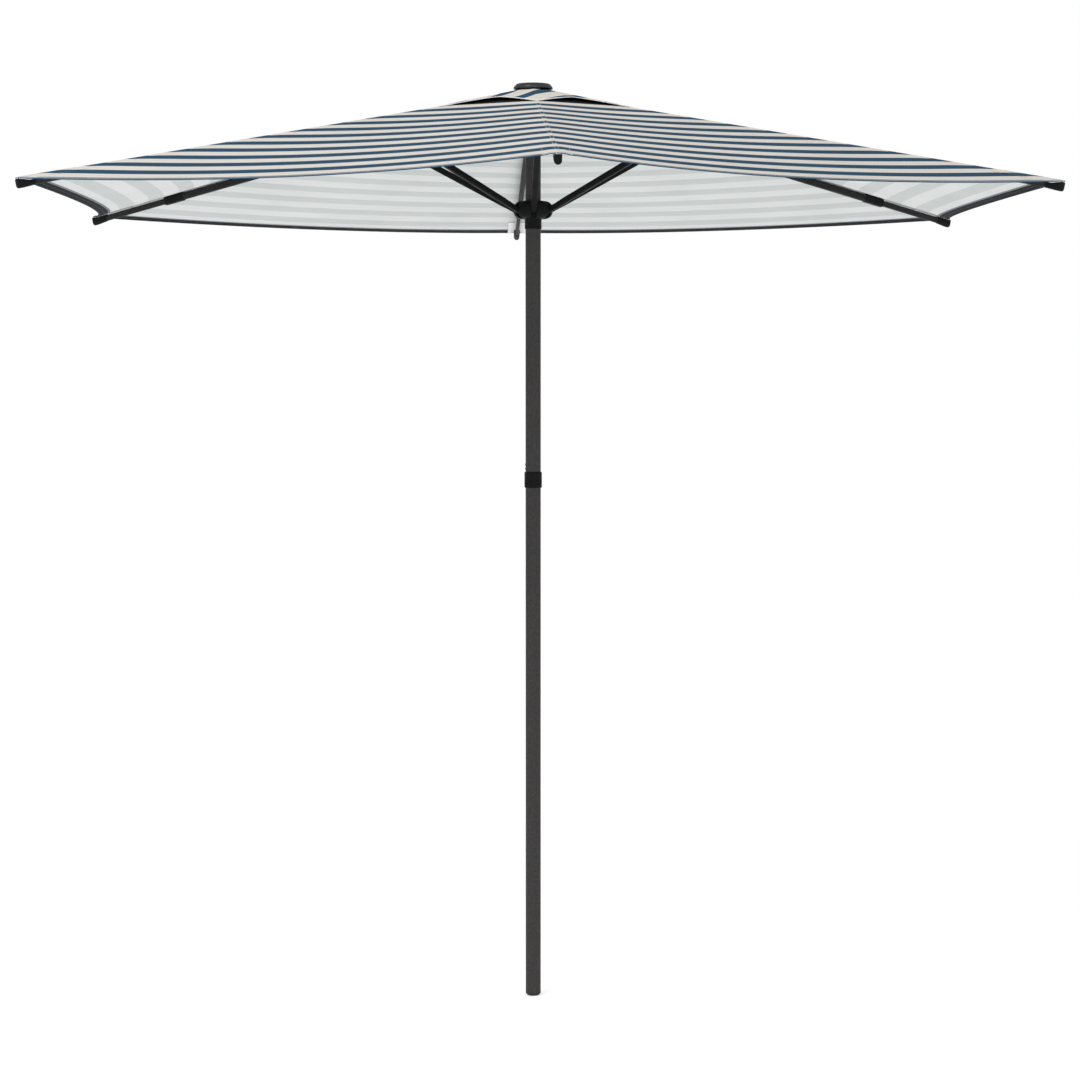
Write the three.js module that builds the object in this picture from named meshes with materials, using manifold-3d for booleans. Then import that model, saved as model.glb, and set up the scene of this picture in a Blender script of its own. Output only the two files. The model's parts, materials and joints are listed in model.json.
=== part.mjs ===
// A six-rib push-up beach umbrella with a two-piece pole and a striped canopy with a vent.
// Millimetres, +Z up. The origin is the centre of the pole's foot, and rib 1 points along -Y.
import * as THREE from "three";
import { mergeVertices } from "three/addons/utils/BufferGeometryUtils.js";
import Module from "manifold-3d";

const wasm = await Module();
wasm.setup();

// ---- Driving dimensions ----
const RIB_COUNT = 6;
const FIRST_RIB_DEG = -90;
const TIP_RADIUS = 1350; // from the pole's axis to the canopy's corners
const RIB_SLOPE = THREE.MathUtils.degToRad(11.3);
const GAP = 0.3; // between pieces that touch

const POLE = { radius: 19, wall: 1.2, sides: 32 };
const LOWER_TUBE = { low: 6.5, high: 1306 };
const UPPER_TUBE = { low: 1306.6, high: 2225 };
const COLLAR = { low: 1277, high: 1317, radius: 21.8, chamfer: 1.8 };
const SPIGOT = { radius: 17.5, wall: 1.5, low: 1150, high: 1420 };
const RIVET = { heights: [1335, 1324.5], shank: 1.9, head: 2.6, dome: 1.0 };
const FOOT = { flat: 14.5, chamfer: 4.6, high: 6.2, plug: 17.4, plugHigh: 40 };

const HUB = { pivotRadius: 42, pivotZ: 2236, radius: 52, slotInner: 29, slotWidth: 14 };
const HUB_SKIRT = { radius: 24, low: 2196 };
const HUB_WEB_LOW = 2226;
const HUB_COVER_HIGH = 2244.5;
const BOLT = { radius: 3.9, high: 2268, headAcross: 15, headLow: 2220.4 };
const FINIAL = { boss: 11, bossLow: 2244.9, low: 2260, high: 2275, flange: 48.5, top: 42 };

const RUNNER = { radius: 48, centre: 1965, half: 22, sleeve: 21, sleeveLow: 1918, bore: 19.4 };
const RUNNER_PIVOT = { radius: 42, z: 1962.5 };
const CATCH = { width: 5, top: 1917.4, low: 1884, reach: 4.3, tailLow: 1770, inset: 3 };

const INNER_TUBE = { width: 13, depth: 18.5, wall: 1.2, start: 14, end: 1062 };
const OUTER_TUBE = { width: 10, depth: 15, wall: 1, start: 1005, end: 1317 };
const TONGUE = { width: 11, radius: 7, end: 44, pinRadius: 2, pinLength: 21 };
const SLEEVE = { width: 17.5, depth: 22, start: 1028.5, end: 1088.5 };
const TIP_CAP = { width: 16.5, start: 1287, end: 1331, top: 10.6, low: 11, inboardLow: 8.8 };
const BRACKET = { at: 372, drop: 20.5, half: 22, width: 24, slot: 17.6, top: 10.6, floor: 10.9 };
const EAR = { radius: 8.5, pinRadius: 2.5 };
const STRUT = { width: 16, depth: 14, wall: 1.2, endWidth: 12, pinLength: 13.4 };

const CLOTH = { thick: 1.2, lift: 12.9, rows: 5, columns: 3 };
const VENT_OPENING = 262; // corner radius of the opening in the main canopy
const HEM = { inward: 75, drop: 20 }; // how far the middle of each hem pulls in and hangs down
const SAG = 5.5; // how far the middle of each gore hangs, halfway down
const VENT_CAP = { corner: 270, scallop: 50, rise: 15, hole: 14, top: 2257.4, flat: 45, slope: 0.2045 };
const VENT_NET = { corner: 256, hole: 14, high: 2246.9 };

// ---- Finishes ----
const finish = (color, roughness, metalness) =>
  new THREE.MeshStandardMaterial({ color, roughness, metalness });
const POLE_PAINT = finish(0x55504f, 0.42, 0.3);
const FRAME_PAINT = finish(0x1d1e20, 0.45, 0.3);
const BLACK_PLASTIC = finish(0x17181a, 0.5, 0);
const STEEL = finish(0xb4b4b2, 0.35, 0.9);
const STRIPED_CLOTH = finish(0x8fa0ae, 0.9, 0);
const NET = finish(0x101012, 0.95, 0);

// ---- Solids ----
// A closed geometry as a solid that can be cut and joined.
function solid(geometry) {
  const bare = geometry.index ? geometry.toNonIndexed() : geometry.clone();
  bare.deleteAttribute("normal");
  bare.deleteAttribute("uv");
  const merged = mergeVertices(bare, 1e-4);
  const triVerts = new Uint32Array(merged.index.array);
  const vertProperties = merged.attributes.position.array;
  return new wasm.Manifold(new wasm.Mesh({ numProp: 3, vertProperties, triVerts }));
}

function geometryOf(body) {
  const { vertProperties, triVerts } = body.getMesh();
  const geometry = new THREE.BufferGeometry();
  geometry.setAttribute("position", new THREE.BufferAttribute(vertProperties, 3));
  geometry.setIndex(new THREE.BufferAttribute(triVerts, 1));
  const flat = geometry.toNonIndexed();
  flat.computeVertexNormals();
  return flat;
}

// A body turned about the Z axis from its [radius, height] outline, anticlockwise.
function turned(outline, sides = POLE.sides) {
  const first = outline[0];
  const last = outline[outline.length - 1];
  const onAxis = first[0] === 0 && last[0] === 0;
  const points = (onAxis ? outline : [...outline, first]).map(([r, z]) => new THREE.Vector2(r, z));
  return new THREE.LatheGeometry(points, sides).rotateX(Math.PI / 2);
}

function tube(outer, inner, low, high) {
  return turned([[inner, low], [outer, low], [outer, high], [inner, high]]);
}

function roundedRectangle(width, height, radius) {
  const [x, y] = [width / 2 - radius, height / 2 - radius];
  const shape = new THREE.Shape();
  shape.absarc(x, y, radius, 0, Math.PI / 2);
  shape.absarc(-x, y, radius, Math.PI / 2, Math.PI);
  shape.absarc(-x, -y, radius, Math.PI, 1.5 * Math.PI);
  shape.absarc(x, -y, radius, 1.5 * Math.PI, 2 * Math.PI);
  shape.closePath();
  return shape;
}

// A section (its x along Y, its y along Z) carried along +X from start to end.
function alongX(shape, start, end, curveSegments = 1) {
  const geometry = new THREE.ExtrudeGeometry(shape, {
    depth: end - start,
    bevelEnabled: false,
    curveSegments,
  });
  const [x, y, z] = [new THREE.Vector3(1, 0, 0), new THREE.Vector3(0, 1, 0), new THREE.Vector3(0, 0, 1)];
  return geometry.applyMatrix4(new THREE.Matrix4().makeBasis(y, z, x)).translate(start, 0, 0);
}

function bar(width, depth, start, end, radius = 2.5) {
  return alongX(roundedRectangle(width, depth, radius), start, end);
}

function hollowBar({ width, depth, wall, start, end }) {
  const section = roundedRectangle(width, depth, 3);
  section.holes.push(roundedRectangle(width - 2 * wall, depth - 2 * wall, 3 - wall));
  return alongX(section, start, end);
}

// A side outline (x, z) as a plate of the given width, centred on the XZ plane.
function plate(shape, width, curveSegments = 3) {
  const geometry = new THREE.ExtrudeGeometry(shape, { depth: width, bevelEnabled: false, curveSegments });
  return geometry.rotateX(Math.PI / 2).translate(0, width / 2, 0);
}

// A pin along Y through (x, z).
function crossPin(radius, length, x, z, sides = 8) {
  return new THREE.CylinderGeometry(radius, radius, length, sides).translate(x, 0, z);
}

function blade(radius, end, width) {
  const shape = new THREE.Shape();
  shape.absarc(0, 0, radius, Math.PI / 2, 1.5 * Math.PI);
  shape.lineTo(end, -radius);
  shape.lineTo(end, radius);
  shape.closePath();
  return plate(shape, width);
}

// A thin closed shell. point(row, column) is its underside: rows run outward, columns anticlockwise.
function shell(rows, columns, point, wraps) {
  const across = wraps ? columns : columns + 1;
  const points = [];
  for (let row = 0; row <= rows; row++)
    for (let column = 0; column < across; column++) points.push(point(row, column));
  const count = points.length;
  const under = (row, column) => row * across + (wraps ? column % columns : column);
  const over = (row, column) => under(row, column) + count;
  const faces = [];
  const quad = (a, b, c, d) => faces.push(a, b, c, a, c, d);
  for (let column = 0; column < columns; column++) {
    const next = column + 1;
    for (let row = 0; row < rows; row++) {
      quad(over(row, column), over(row + 1, column), over(row + 1, next), over(row, next));
      quad(under(row, column), under(row, next), under(row + 1, next), under(row + 1, column));
    }
    quad(under(rows, column), under(rows, next), over(rows, next), over(rows, column));
    quad(under(0, next), under(0, column), over(0, column), over(0, next));
  }
  for (let row = 0; row < rows && !wraps; row++) {
    quad(under(row, 0), under(row + 1, 0), over(row + 1, 0), over(row, 0));
    quad(over(row, columns), over(row + 1, columns), under(row + 1, columns), under(row, columns));
  }
  const positions = [...points, ...points.map(([x, y, z]) => [x, y, z + CLOTH.thick])].flat();
  const geometry = new THREE.BufferGeometry();
  geometry.setAttribute("position", new THREE.Float32BufferAttribute(positions, 3));
  geometry.setIndex(faces);
  geometry.computeVertexNormals();
  return geometry;
}

// ---- Placing ----
const umbrella = new THREE.Group();

function piece(name, geometry, material, parent = umbrella) {
  const mesh = new THREE.Mesh(geometry, material);
  mesh.name = name;
  parent.add(mesh);
  return mesh;
}

const ribAngle = (rib) => THREE.MathUtils.degToRad(FIRST_RIB_DEG + (rib * 360) / RIB_COUNT);

// The height of the ribs' axis at a distance from the pole's axis.
const ribHeight = (radius) => HUB.pivotZ - Math.tan(RIB_SLOPE) * (radius - HUB.pivotRadius);

// Cuts one slot for each rib, from the inner radius out, through the whole height.
function withRibSlots(body, inner, width, low, high) {
  const length = 80;
  let cut = body;
  for (let rib = 0; rib < RIB_COUNT; rib++) {
    const slot = new THREE.BoxGeometry(length, width, high - low)
      .translate(inner + length / 2, 0, (low + high) / 2)
      .rotateZ(ribAngle(rib));
    cut = cut.subtract(solid(slot));
  }
  return cut;
}

// ---- Pole ----
function lowerPole() {
  const { radius, wall } = POLE;
  piece("lower_pole_tube", tube(radius, radius - wall, LOWER_TUBE.low, LOWER_TUBE.high), POLE_PAINT);
  const foot = [
    [0, 0],
    [FOOT.flat, 0],
    [radius - 0.2, FOOT.chamfer],
    [radius, FOOT.high],
    [FOOT.plug, FOOT.high],
    [FOOT.plug, FOOT.plugHigh],
    [0, FOOT.plugHigh],
  ];
  piece("foot_plug", turned(foot), POLE_PAINT);
  const { low, high, chamfer } = COLLAR;
  const bore = radius + 0.4;
  const collar = [
    [bore, low],
    [COLLAR.radius - chamfer, low],
    [COLLAR.radius, low + chamfer],
    [COLLAR.radius, high - chamfer],
    [COLLAR.radius - chamfer, high],
    [bore, high],
  ];
  piece("joint_collar", turned(collar), BLACK_PLASTIC);
}

function upperPole() {
  const { radius, wall } = POLE;
  let pole = solid(tube(radius, radius - wall, UPPER_TUBE.low, UPPER_TUBE.high));
  let spigot = solid(tube(SPIGOT.radius, SPIGOT.radius - SPIGOT.wall, SPIGOT.low, SPIGOT.high));
  RIVET.heights.forEach((height, i) => {
    const along = (r, length, x) =>
      new THREE.CylinderGeometry(r, r, length, 10).rotateZ(Math.PI / 2).translate(x, 0, height);
    const hole = solid(along(RIVET.shank + 0.4, 8, -radius));
    pole = pole.subtract(hole);
    spigot = spigot.subtract(hole);
    const shank = solid(along(RIVET.shank, 4.6, -radius + 1.6));
    const head = solid(along(RIVET.head, RIVET.dome, -radius - GAP - RIVET.dome / 2));
    piece(`joint_rivet_${i + 1}`, geometryOf(shank.add(head)), STEEL);
  });
  const slotHeight = CATCH.top + 1 - CATCH.low + 4;
  const catchSlot = new THREE.BoxGeometry(CATCH.width + 1, 10, slotHeight);
  catchSlot.translate(0, radius, CATCH.low - 4 + slotHeight / 2);
  piece("upper_pole_tube", geometryOf(pole.subtract(solid(catchSlot))), POLE_PAINT);
  piece("joint_spigot", geometryOf(spigot), STEEL);
}

// The sprung catch that the open runner rests on: a wedge through a slot in the pole, on a leaf.
function runnerCatch() {
  const inside = POLE.radius - POLE.wall - CATCH.inset;
  const shape = new THREE.Shape();
  shape.moveTo(inside, CATCH.top);
  shape.lineTo(POLE.radius + CATCH.reach, CATCH.top);
  shape.lineTo(POLE.radius + CATCH.reach, CATCH.top - 3);
  shape.lineTo(POLE.radius - POLE.wall - 1, CATCH.low);
  shape.lineTo(inside + 1.2, CATCH.tailLow);
  shape.lineTo(inside, CATCH.tailLow);
  shape.closePath();
  piece("runner_catch", plate(shape, CATCH.width).rotateZ(Math.PI / 2), STEEL);
}

// ---- Top hub and finial ----
function topHub() {
  const { pivotRadius, pivotZ, radius, slotInner, slotWidth } = HUB;
  const split = GAP / 2;
  const bore = POLE.radius + 0.4;
  const lower = [
    [BOLT.radius + 0.4, HUB_WEB_LOW],
    [bore, HUB_WEB_LOW],
    [bore, HUB_SKIRT.low],
    [HUB_SKIRT.radius, HUB_SKIRT.low],
    [HUB_SKIRT.radius, pivotZ - 16],
    [radius - 2, pivotZ - 13],
    [radius, pivotZ - 11],
    [radius, pivotZ - split],
    [BOLT.radius + 0.4, pivotZ - split],
  ];
  const cover = [
    [BOLT.radius + 0.4, pivotZ + split],
    [radius, pivotZ + split],
    [radius, HUB_COVER_HIGH - 3],
    [radius - 4, HUB_COVER_HIGH],
    [BOLT.radius + 0.4, HUB_COVER_HIGH],
  ];
  const halves = [["top_hub", lower], ["hub_cover", cover]];
  for (const [name, outline] of halves) {
    let half = withRibSlots(solid(turned(outline)), slotInner, slotWidth, pivotZ - 60, pivotZ + 30);
    for (let rib = 0; rib < RIB_COUNT; rib++) {
      const seat = crossPin(TONGUE.pinRadius + 0.4, TONGUE.pinLength + 1, pivotRadius, pivotZ);
      half = half.subtract(solid(seat.rotateZ(ribAngle(rib))));
    }
    piece(name, geometryOf(half), BLACK_PLASTIC);
  }
}

function finial() {
  const bore = BOLT.radius + 0.4;
  const { boss, bossLow, low, high, flange, top } = FINIAL;
  const cap = [
    [0, BOLT.high + 1],
    [bore, BOLT.high + 1],
    [bore, bossLow],
    [boss, bossLow],
    [boss, low],
    [flange - 1, low],
    [flange, low + 1],
    [flange, low + 5],
    [flange - 2, low + 9.5],
    [top, low + 12.8],
    [top * 0.7, high - 0.6],
    [0, high],
  ];
  piece("finial_cap", turned(cap), BLACK_PLASTIC);
  const stem = new THREE.CylinderGeometry(BOLT.radius, BOLT.radius, BOLT.high - BOLT.headLow, 16);
  stem.rotateX(Math.PI / 2).translate(0, 0, (BOLT.high + BOLT.headLow) / 2);
  const headHigh = HUB_WEB_LOW - GAP;
  const head = new THREE.CylinderGeometry(BOLT.headAcross / 2, BOLT.headAcross / 2, headHigh - BOLT.headLow, 6);
  head.rotateX(Math.PI / 2).translate(0, 0, (headHigh + BOLT.headLow) / 2);
  piece("finial_bolt", geometryOf(solid(stem).add(solid(head))), STEEL);
}

// ---- Runner ----
function runner() {
  const { radius, centre, half, sleeve, sleeveLow, bore } = RUNNER;
  const outline = [
    [bore, sleeveLow],
    [sleeve - 0.6, sleeveLow],
    [sleeve, sleeveLow + 1],
    [sleeve, centre - half],
    [radius * 0.62, centre - half],
    [radius * 0.8, centre - half + 2],
    [radius * 0.93, centre - half + 6.5],
    [radius, centre - 7],
    [radius, centre + 7],
    [radius * 0.93, centre + half - 6.5],
    [radius * 0.8, centre + half - 2],
    [radius * 0.62, centre + half],
    [bore, centre + half],
  ];
  const slotted = withRibSlots(solid(turned(outline)), HUB.slotInner, HUB.slotWidth, centre - 40, centre + 40);
  piece("runner", geometryOf(slotted), BLACK_PLASTIC);
}

// ---- Ribs ----
function ribInnerTube() {
  const tongue = solid(blade(TONGUE.radius, TONGUE.end, TONGUE.width));
  const pin = solid(crossPin(TONGUE.pinRadius, TONGUE.pinLength, 0, 0));
  return geometryOf(solid(hollowBar(INNER_TUBE)).add(tongue).add(pin));
}

function ribJointSleeve() {
  const outer = solid(bar(SLEEVE.width, SLEEVE.depth, SLEEVE.start, SLEEVE.end, 3.5));
  const step = INNER_TUBE.end + 1;
  const wide = bar(INNER_TUBE.width + 2 * GAP, INNER_TUBE.depth + 2 * GAP, SLEEVE.start - 5, step);
  const narrow = bar(OUTER_TUBE.width + 2 * GAP, OUTER_TUBE.depth + 2 * GAP, step - 1, SLEEVE.end + 5);
  return geometryOf(outer.subtract(solid(wide)).subtract(solid(narrow)));
}

function ribTipCap() {
  const { start, end, top, low, inboardLow, width } = TIP_CAP;
  const shape = new THREE.Shape();
  shape.moveTo(start, -inboardLow);
  shape.lineTo(end - 14, -low);
  shape.lineTo(end - 5, -low);
  shape.quadraticCurveTo(end, -low, end, -low + 6);
  shape.lineTo(end, top);
  shape.lineTo(start, top);
  shape.closePath();
  const socket = bar(OUTER_TUBE.width + 2 * GAP, OUTER_TUBE.depth + 2 * GAP, start - 5, OUTER_TUBE.end + 1);
  const round = bar(width, 40, start - 1, end + 1, width / 2).translate(0, 0, 20 - low);
  return geometryOf(solid(plate(shape, width, 2)).intersect(solid(round)).subtract(solid(socket)));
}

// Clamps round the rib's inner tube, with two ears that hold the strut's upper end.
function strutBracket() {
  const { at, drop, half, width, slot, top, floor } = BRACKET;
  const shape = new THREE.Shape();
  shape.moveTo(at - half, top);
  shape.lineTo(at - half, -floor);
  shape.lineTo(at - half + 5, -floor - 1);
  shape.absarc(at, -drop, EAR.radius, Math.PI * 1.08, Math.PI * 1.92);
  shape.lineTo(at + half - 5, -floor - 1);
  shape.lineTo(at + half, -floor);
  shape.lineTo(at + half, top);
  shape.closePath();
  const fork = new THREE.BoxGeometry(2 * half + 10, slot, 40).translate(at, 0, -floor - 20);
  const bore = bar(
    INNER_TUBE.width + 2 * GAP,
    INNER_TUBE.depth + 2 * GAP,
    at - half - 5,
    at + half + 5,
    3,
  );
  const pin = crossPin(EAR.pinRadius, width, at, -drop);
  return geometryOf(solid(plate(shape, width)).subtract(solid(fork)).subtract(solid(bore)).add(solid(pin)));
}

// The strut's upper pivot, from the bracket's place on the rib.
const bracketPivot = {
  radius:
    HUB.pivotRadius + BRACKET.at * Math.cos(RIB_SLOPE) - BRACKET.drop * Math.sin(RIB_SLOPE),
  z: HUB.pivotZ - BRACKET.at * Math.sin(RIB_SLOPE) - BRACKET.drop * Math.cos(RIB_SLOPE),
};
const strutRun = bracketPivot.radius - RUNNER_PIVOT.radius;
const strutRise = bracketPivot.z - RUNNER_PIVOT.z;
const STRUT_LENGTH = Math.hypot(strutRun, strutRise);
const STRUT_ELEVATION = Math.atan2(strutRise, strutRun);

// Pivots at the origin and at STRUT_LENGTH along +X.
function strut() {
  const { width, depth, wall, endWidth, pinLength } = STRUT;
  const round = depth / 2 - 0.4;
  const body = solid(hollowBar({ width, depth, wall, start: 12, end: STRUT_LENGTH - 28 }));
  const upper = solid(blade(round, 26, width - 0.8));
  const lower = solid(blade(round, 46, endWidth).rotateZ(Math.PI).translate(STRUT_LENGTH, 0, 0));
  const pin = solid(crossPin(EAR.pinRadius, pinLength, STRUT_LENGTH, 0));
  const hole = solid(crossPin(EAR.pinRadius + 0.4, width * 2, 0, 0));
  return geometryOf(body.add(upper).add(lower).add(pin).subtract(hole));
}

function ribs() {
  for (let rib = 0; rib < RIB_COUNT; rib++) {
    const number = rib + 1;
    const arm = new THREE.Group();
    arm.rotation.z = ribAngle(rib);
    umbrella.add(arm);
    const line = new THREE.Group();
    line.position.set(HUB.pivotRadius, 0, HUB.pivotZ);
    line.rotation.y = RIB_SLOPE;
    arm.add(line);
    piece(`rib_${number}_inner_tube`, ribInnerTube(), FRAME_PAINT, line);
    piece(`rib_${number}_outer_tube`, hollowBar(OUTER_TUBE), FRAME_PAINT, line);
    piece(`rib_${number}_joint_sleeve`, ribJointSleeve(), BLACK_PLASTIC, line);
    piece(`rib_${number}_tip_cap`, ribTipCap(), BLACK_PLASTIC, line);
    piece(`rib_${number}_strut_bracket`, strutBracket(), BLACK_PLASTIC, line);
    const prop = piece(`strut_${number}`, strut(), FRAME_PAINT, arm);
    prop.position.set(bracketPivot.radius, 0, bracketPivot.z);
    prop.rotation.y = Math.PI - STRUT_ELEVATION;
    piece(`canopy_${number}`, canopyPanel(), STRIPED_CLOTH, arm);
  }
}

// ---- Canopy ----
const HALF_GORE = Math.PI / RIB_COUNT;

// A point of the gore between two ribs, in the frame of the rib at its start. radius is taken
// along the ribs and share runs from 0 at the middle of the gore to 1 at the rib. side is which
// of the rib's two gores it is. The middle pulls in by inward and hangs down by drop.
function gorePoint(radius, share, side, height, inward, drop, seam = 0) {
  const bow = 1 - share * share;
  const out = radius * Math.cos(HALF_GORE) - inward * bow;
  const along = Math.max(radius * Math.sin(HALF_GORE) * share, seam);
  const x = out * Math.cos(HALF_GORE) + along * Math.sin(HALF_GORE);
  const y = side * (out * Math.sin(HALF_GORE) - along * Math.cos(HALF_GORE));
  return [x, y, height - drop * bow];
}

// The cloth that one rib carries: half a gore on each side, from the vent opening to the hem.
function canopyPanel() {
  const { rows, columns } = CLOTH;
  const lift = CLOTH.lift / Math.cos(RIB_SLOPE);
  const point = (row, column) => {
    const down = row / rows;
    const radius = THREE.MathUtils.lerp(VENT_OPENING, TIP_RADIUS, down);
    const share = 1 - Math.abs(column - columns) / columns;
    const side = column < columns ? -1 : 1;
    const pull = down * down;
    const height = ribHeight(radius) + lift;
    const hang = HEM.drop * pull + SAG * (4 * down * (1 - down)) ** 0.6;
    return gorePoint(radius, share, side, height, HEM.inward * pull, hang, GAP / 2);
  };
  return shell(rows, 2 * columns, point, false);
}

// A closed ring of cloth round the pole, from a small centre hole to its corners at the ribs.
// The hem's middle pulls in by scallop between the ribs and stands up by rise.
function clothRing(hole, corner, rows, columns, heightAt, scallop = 0, rise = 0) {
  const perRib = 2 * columns;
  const point = (row, column) => {
    const down = row / rows;
    const radius = THREE.MathUtils.lerp(hole, corner, down);
    const rib = Math.floor(column / perRib);
    const step = column - rib * perRib;
    const share = Math.abs(step - columns) / columns;
    const side = step < columns ? 1 : -1;
    const pull = down ** 1.5;
    const [x, y, z] = gorePoint(radius, share, side, heightAt(radius), scallop * pull, -rise * pull);
    const turn = ribAngle(side > 0 ? rib : rib + 1);
    return [x * Math.cos(turn) - y * Math.sin(turn), x * Math.sin(turn) + y * Math.cos(turn), z];
  };
  return shell(rows, RIB_COUNT * perRib, point, true);
}

function vent() {
  const { corner, scallop, rise, hole, top, flat, slope } = VENT_CAP;
  const capHeight = (radius) => top - slope * Math.max(radius - flat, 0);
  piece("vent_cap", clothRing(hole, corner, 4, 2, capHeight, scallop, rise), STRIPED_CLOTH);
  const lift = CLOTH.lift / Math.cos(RIB_SLOPE);
  const netHeight = (radius) => Math.min(ribHeight(radius) + lift, VENT_NET.high);
  piece("vent_net", clothRing(VENT_NET.hole, VENT_NET.corner, 5, 1, netHeight), NET);
}

lowerPole();
upperPole();
runnerCatch();
topHub();
finial();
runner();
ribs();
vent();

export default umbrella;
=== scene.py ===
"""A six-rib push-up beach umbrella: a two-piece pole, a sliding runner and a striped, vented canopy.

Everything is in metres, +Z up. Rib 1 points along -Y. The ribs, the joints and the pole's lengths
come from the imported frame; each class below holds the sizes of its own sub-assembly.
"""

import json
import logging
import math
from collections.abc import Callable, Iterable, Sequence
from dataclasses import dataclass, field
from enum import Enum
from functools import cache, partial

import bmesh
import bpy
from mathutils import Matrix, Vector


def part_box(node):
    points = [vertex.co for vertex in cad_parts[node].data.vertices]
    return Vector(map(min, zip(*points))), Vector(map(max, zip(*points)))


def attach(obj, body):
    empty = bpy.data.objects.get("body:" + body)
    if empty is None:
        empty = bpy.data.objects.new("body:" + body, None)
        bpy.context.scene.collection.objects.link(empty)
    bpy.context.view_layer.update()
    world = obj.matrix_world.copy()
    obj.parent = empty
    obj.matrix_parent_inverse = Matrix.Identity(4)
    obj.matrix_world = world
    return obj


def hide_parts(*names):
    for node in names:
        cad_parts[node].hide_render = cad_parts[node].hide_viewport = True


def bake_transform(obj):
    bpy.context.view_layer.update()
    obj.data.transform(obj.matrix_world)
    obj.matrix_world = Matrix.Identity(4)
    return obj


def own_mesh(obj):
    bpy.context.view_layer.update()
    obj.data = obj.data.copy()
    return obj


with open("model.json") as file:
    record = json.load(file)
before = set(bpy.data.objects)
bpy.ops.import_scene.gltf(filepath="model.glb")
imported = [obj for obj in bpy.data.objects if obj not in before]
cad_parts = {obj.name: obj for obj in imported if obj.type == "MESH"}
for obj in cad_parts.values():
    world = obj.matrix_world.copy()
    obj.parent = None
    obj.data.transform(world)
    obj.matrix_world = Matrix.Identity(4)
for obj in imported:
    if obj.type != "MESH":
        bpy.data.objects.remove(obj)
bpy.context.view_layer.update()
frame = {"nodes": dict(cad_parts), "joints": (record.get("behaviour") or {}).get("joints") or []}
LOG = logging.getLogger("umbrella")

Outline = Sequence[tuple[float, float]]
Surface = Callable[[float, float], Vector]
MM = 0.001
RIB_COUNT = 6
FIRST_RIB = math.radians(-90)
HALF_GORE = math.pi / RIB_COUNT
CLOTH_UV = "cloth"
EDGE_UV = "edges"


class Slot(Enum):
    """The record's material slots."""

    POLE = "pole_paint"
    FRAME = "frame_paint"
    PLASTIC = "black_plastic"
    STEEL = "steel"
    CLOTH = "striped_cloth"
    NET = "net"


class Side(Enum):
    """The two half gores that meet on a rib: which way each one lies from it."""

    LEFT = -1
    RIGHT = 1


# ---- Finishes ----
class Wiring:
    """The nodes of one material, made and joined in the order in which they are used."""

    def __init__(self, name: str) -> None:
        """Starts a material with a bare shader.

        Args:
            name: the material's name.
        """
        self.material = bpy.data.materials.new(name)
        self.material.use_nodes = True
        self.nodes = self.material.node_tree.nodes
        self.links = self.material.node_tree.links
        self.shader = next(n for n in self.nodes if n.type == "BSDF_PRINCIPLED")

    def add(self, kind: str, inputs: dict | None = None, **settings: object) -> bpy.types.Node:
        """Adds a node.

        Args:
            kind: the node's type, without the leading ShaderNode.
            inputs: a number, a colour or another node's output for each named or numbered input.
            **settings: the node's own properties.

        Returns:
            The new node.
        """
        node = self.nodes.new("ShaderNode" + kind)
        for key, value in settings.items():
            setattr(node, key, value)
        for key, value in (inputs or {}).items():
            self.feed(node.inputs[key], value)
        return node

    def feed(self, socket: bpy.types.NodeSocket, value: object) -> None:
        """Links an output to a socket, or sets the socket's own value."""
        if isinstance(value, bpy.types.NodeSocket):
            self.links.new(value, socket)
        else:
            socket.default_value = value

    def math(self, operation: str, first: object, second: object = 0.0) -> bpy.types.NodeSocket:
        """One step of arithmetic, as the output of a new math node."""
        return self.add("Math", {0: first, 1: second}, operation=operation).outputs[0]

    def ramp(self, value: object, start: float, end: float, low: float = 0.0,
             high: float = 1.0) -> bpy.types.NodeSocket:
        """A value carried smoothly from start..end to low..high."""
        inputs = {0: value, 1: start, 2: end, 3: low, 4: high}
        return self.add("MapRange", inputs, interpolation_type="SMOOTHSTEP").outputs[0]

    def mix(self, share: object, first: object, second: object) -> bpy.types.NodeSocket:
        """Two colours mixed by a share."""
        node = self.add("Mix", {0: share, 6: first, 7: second}, data_type="RGBA")
        return node.outputs[2]

    def noise(self, vector: object, scale: float, detail: float = 2.0) -> bpy.types.NodeSocket:
        """A noise value at the given scale."""
        return self.add("TexNoise", {"Vector": vector, "Scale": scale, "Detail": detail}).outputs[0]

    def object_place(self) -> bpy.types.NodeSocket:
        """The place on the piece, in metres."""
        return self.add("TexCoord").outputs["Object"]

    def bump(self, height: object, depth: float, strength: float = 1.0) -> None:
        """Gives the shader a bump of the given depth in metres."""
        node = self.add("Bump", {"Height": height, "Strength": strength, "Distance": depth})
        self.feed(self.shader.inputs["Normal"], node.outputs[0])

    def surface(self, color: object, roughness: object, **uniform: float) -> None:
        """Sets the shader's colour and roughness, and its uniform values.

        Args:
            color: the base colour or an output.
            roughness: the roughness or an output.
            **uniform: other inputs by name, with _ for a space, set on the shader's own sockets.
        """
        self.feed(self.shader.inputs["Base Color"], color)
        self.feed(self.shader.inputs["Roughness"], roughness)
        for key, value in uniform.items():
            self.shader.inputs[key.replace("_", " ")].default_value = value


def shade(red: float, green: float, blue: float, gain: float = 1.0) -> tuple[float, float, float, float]:
    """A colour for a socket, from linear red, green and blue."""
    return (red * gain, green * gain, blue * gain, 1.0)


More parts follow.
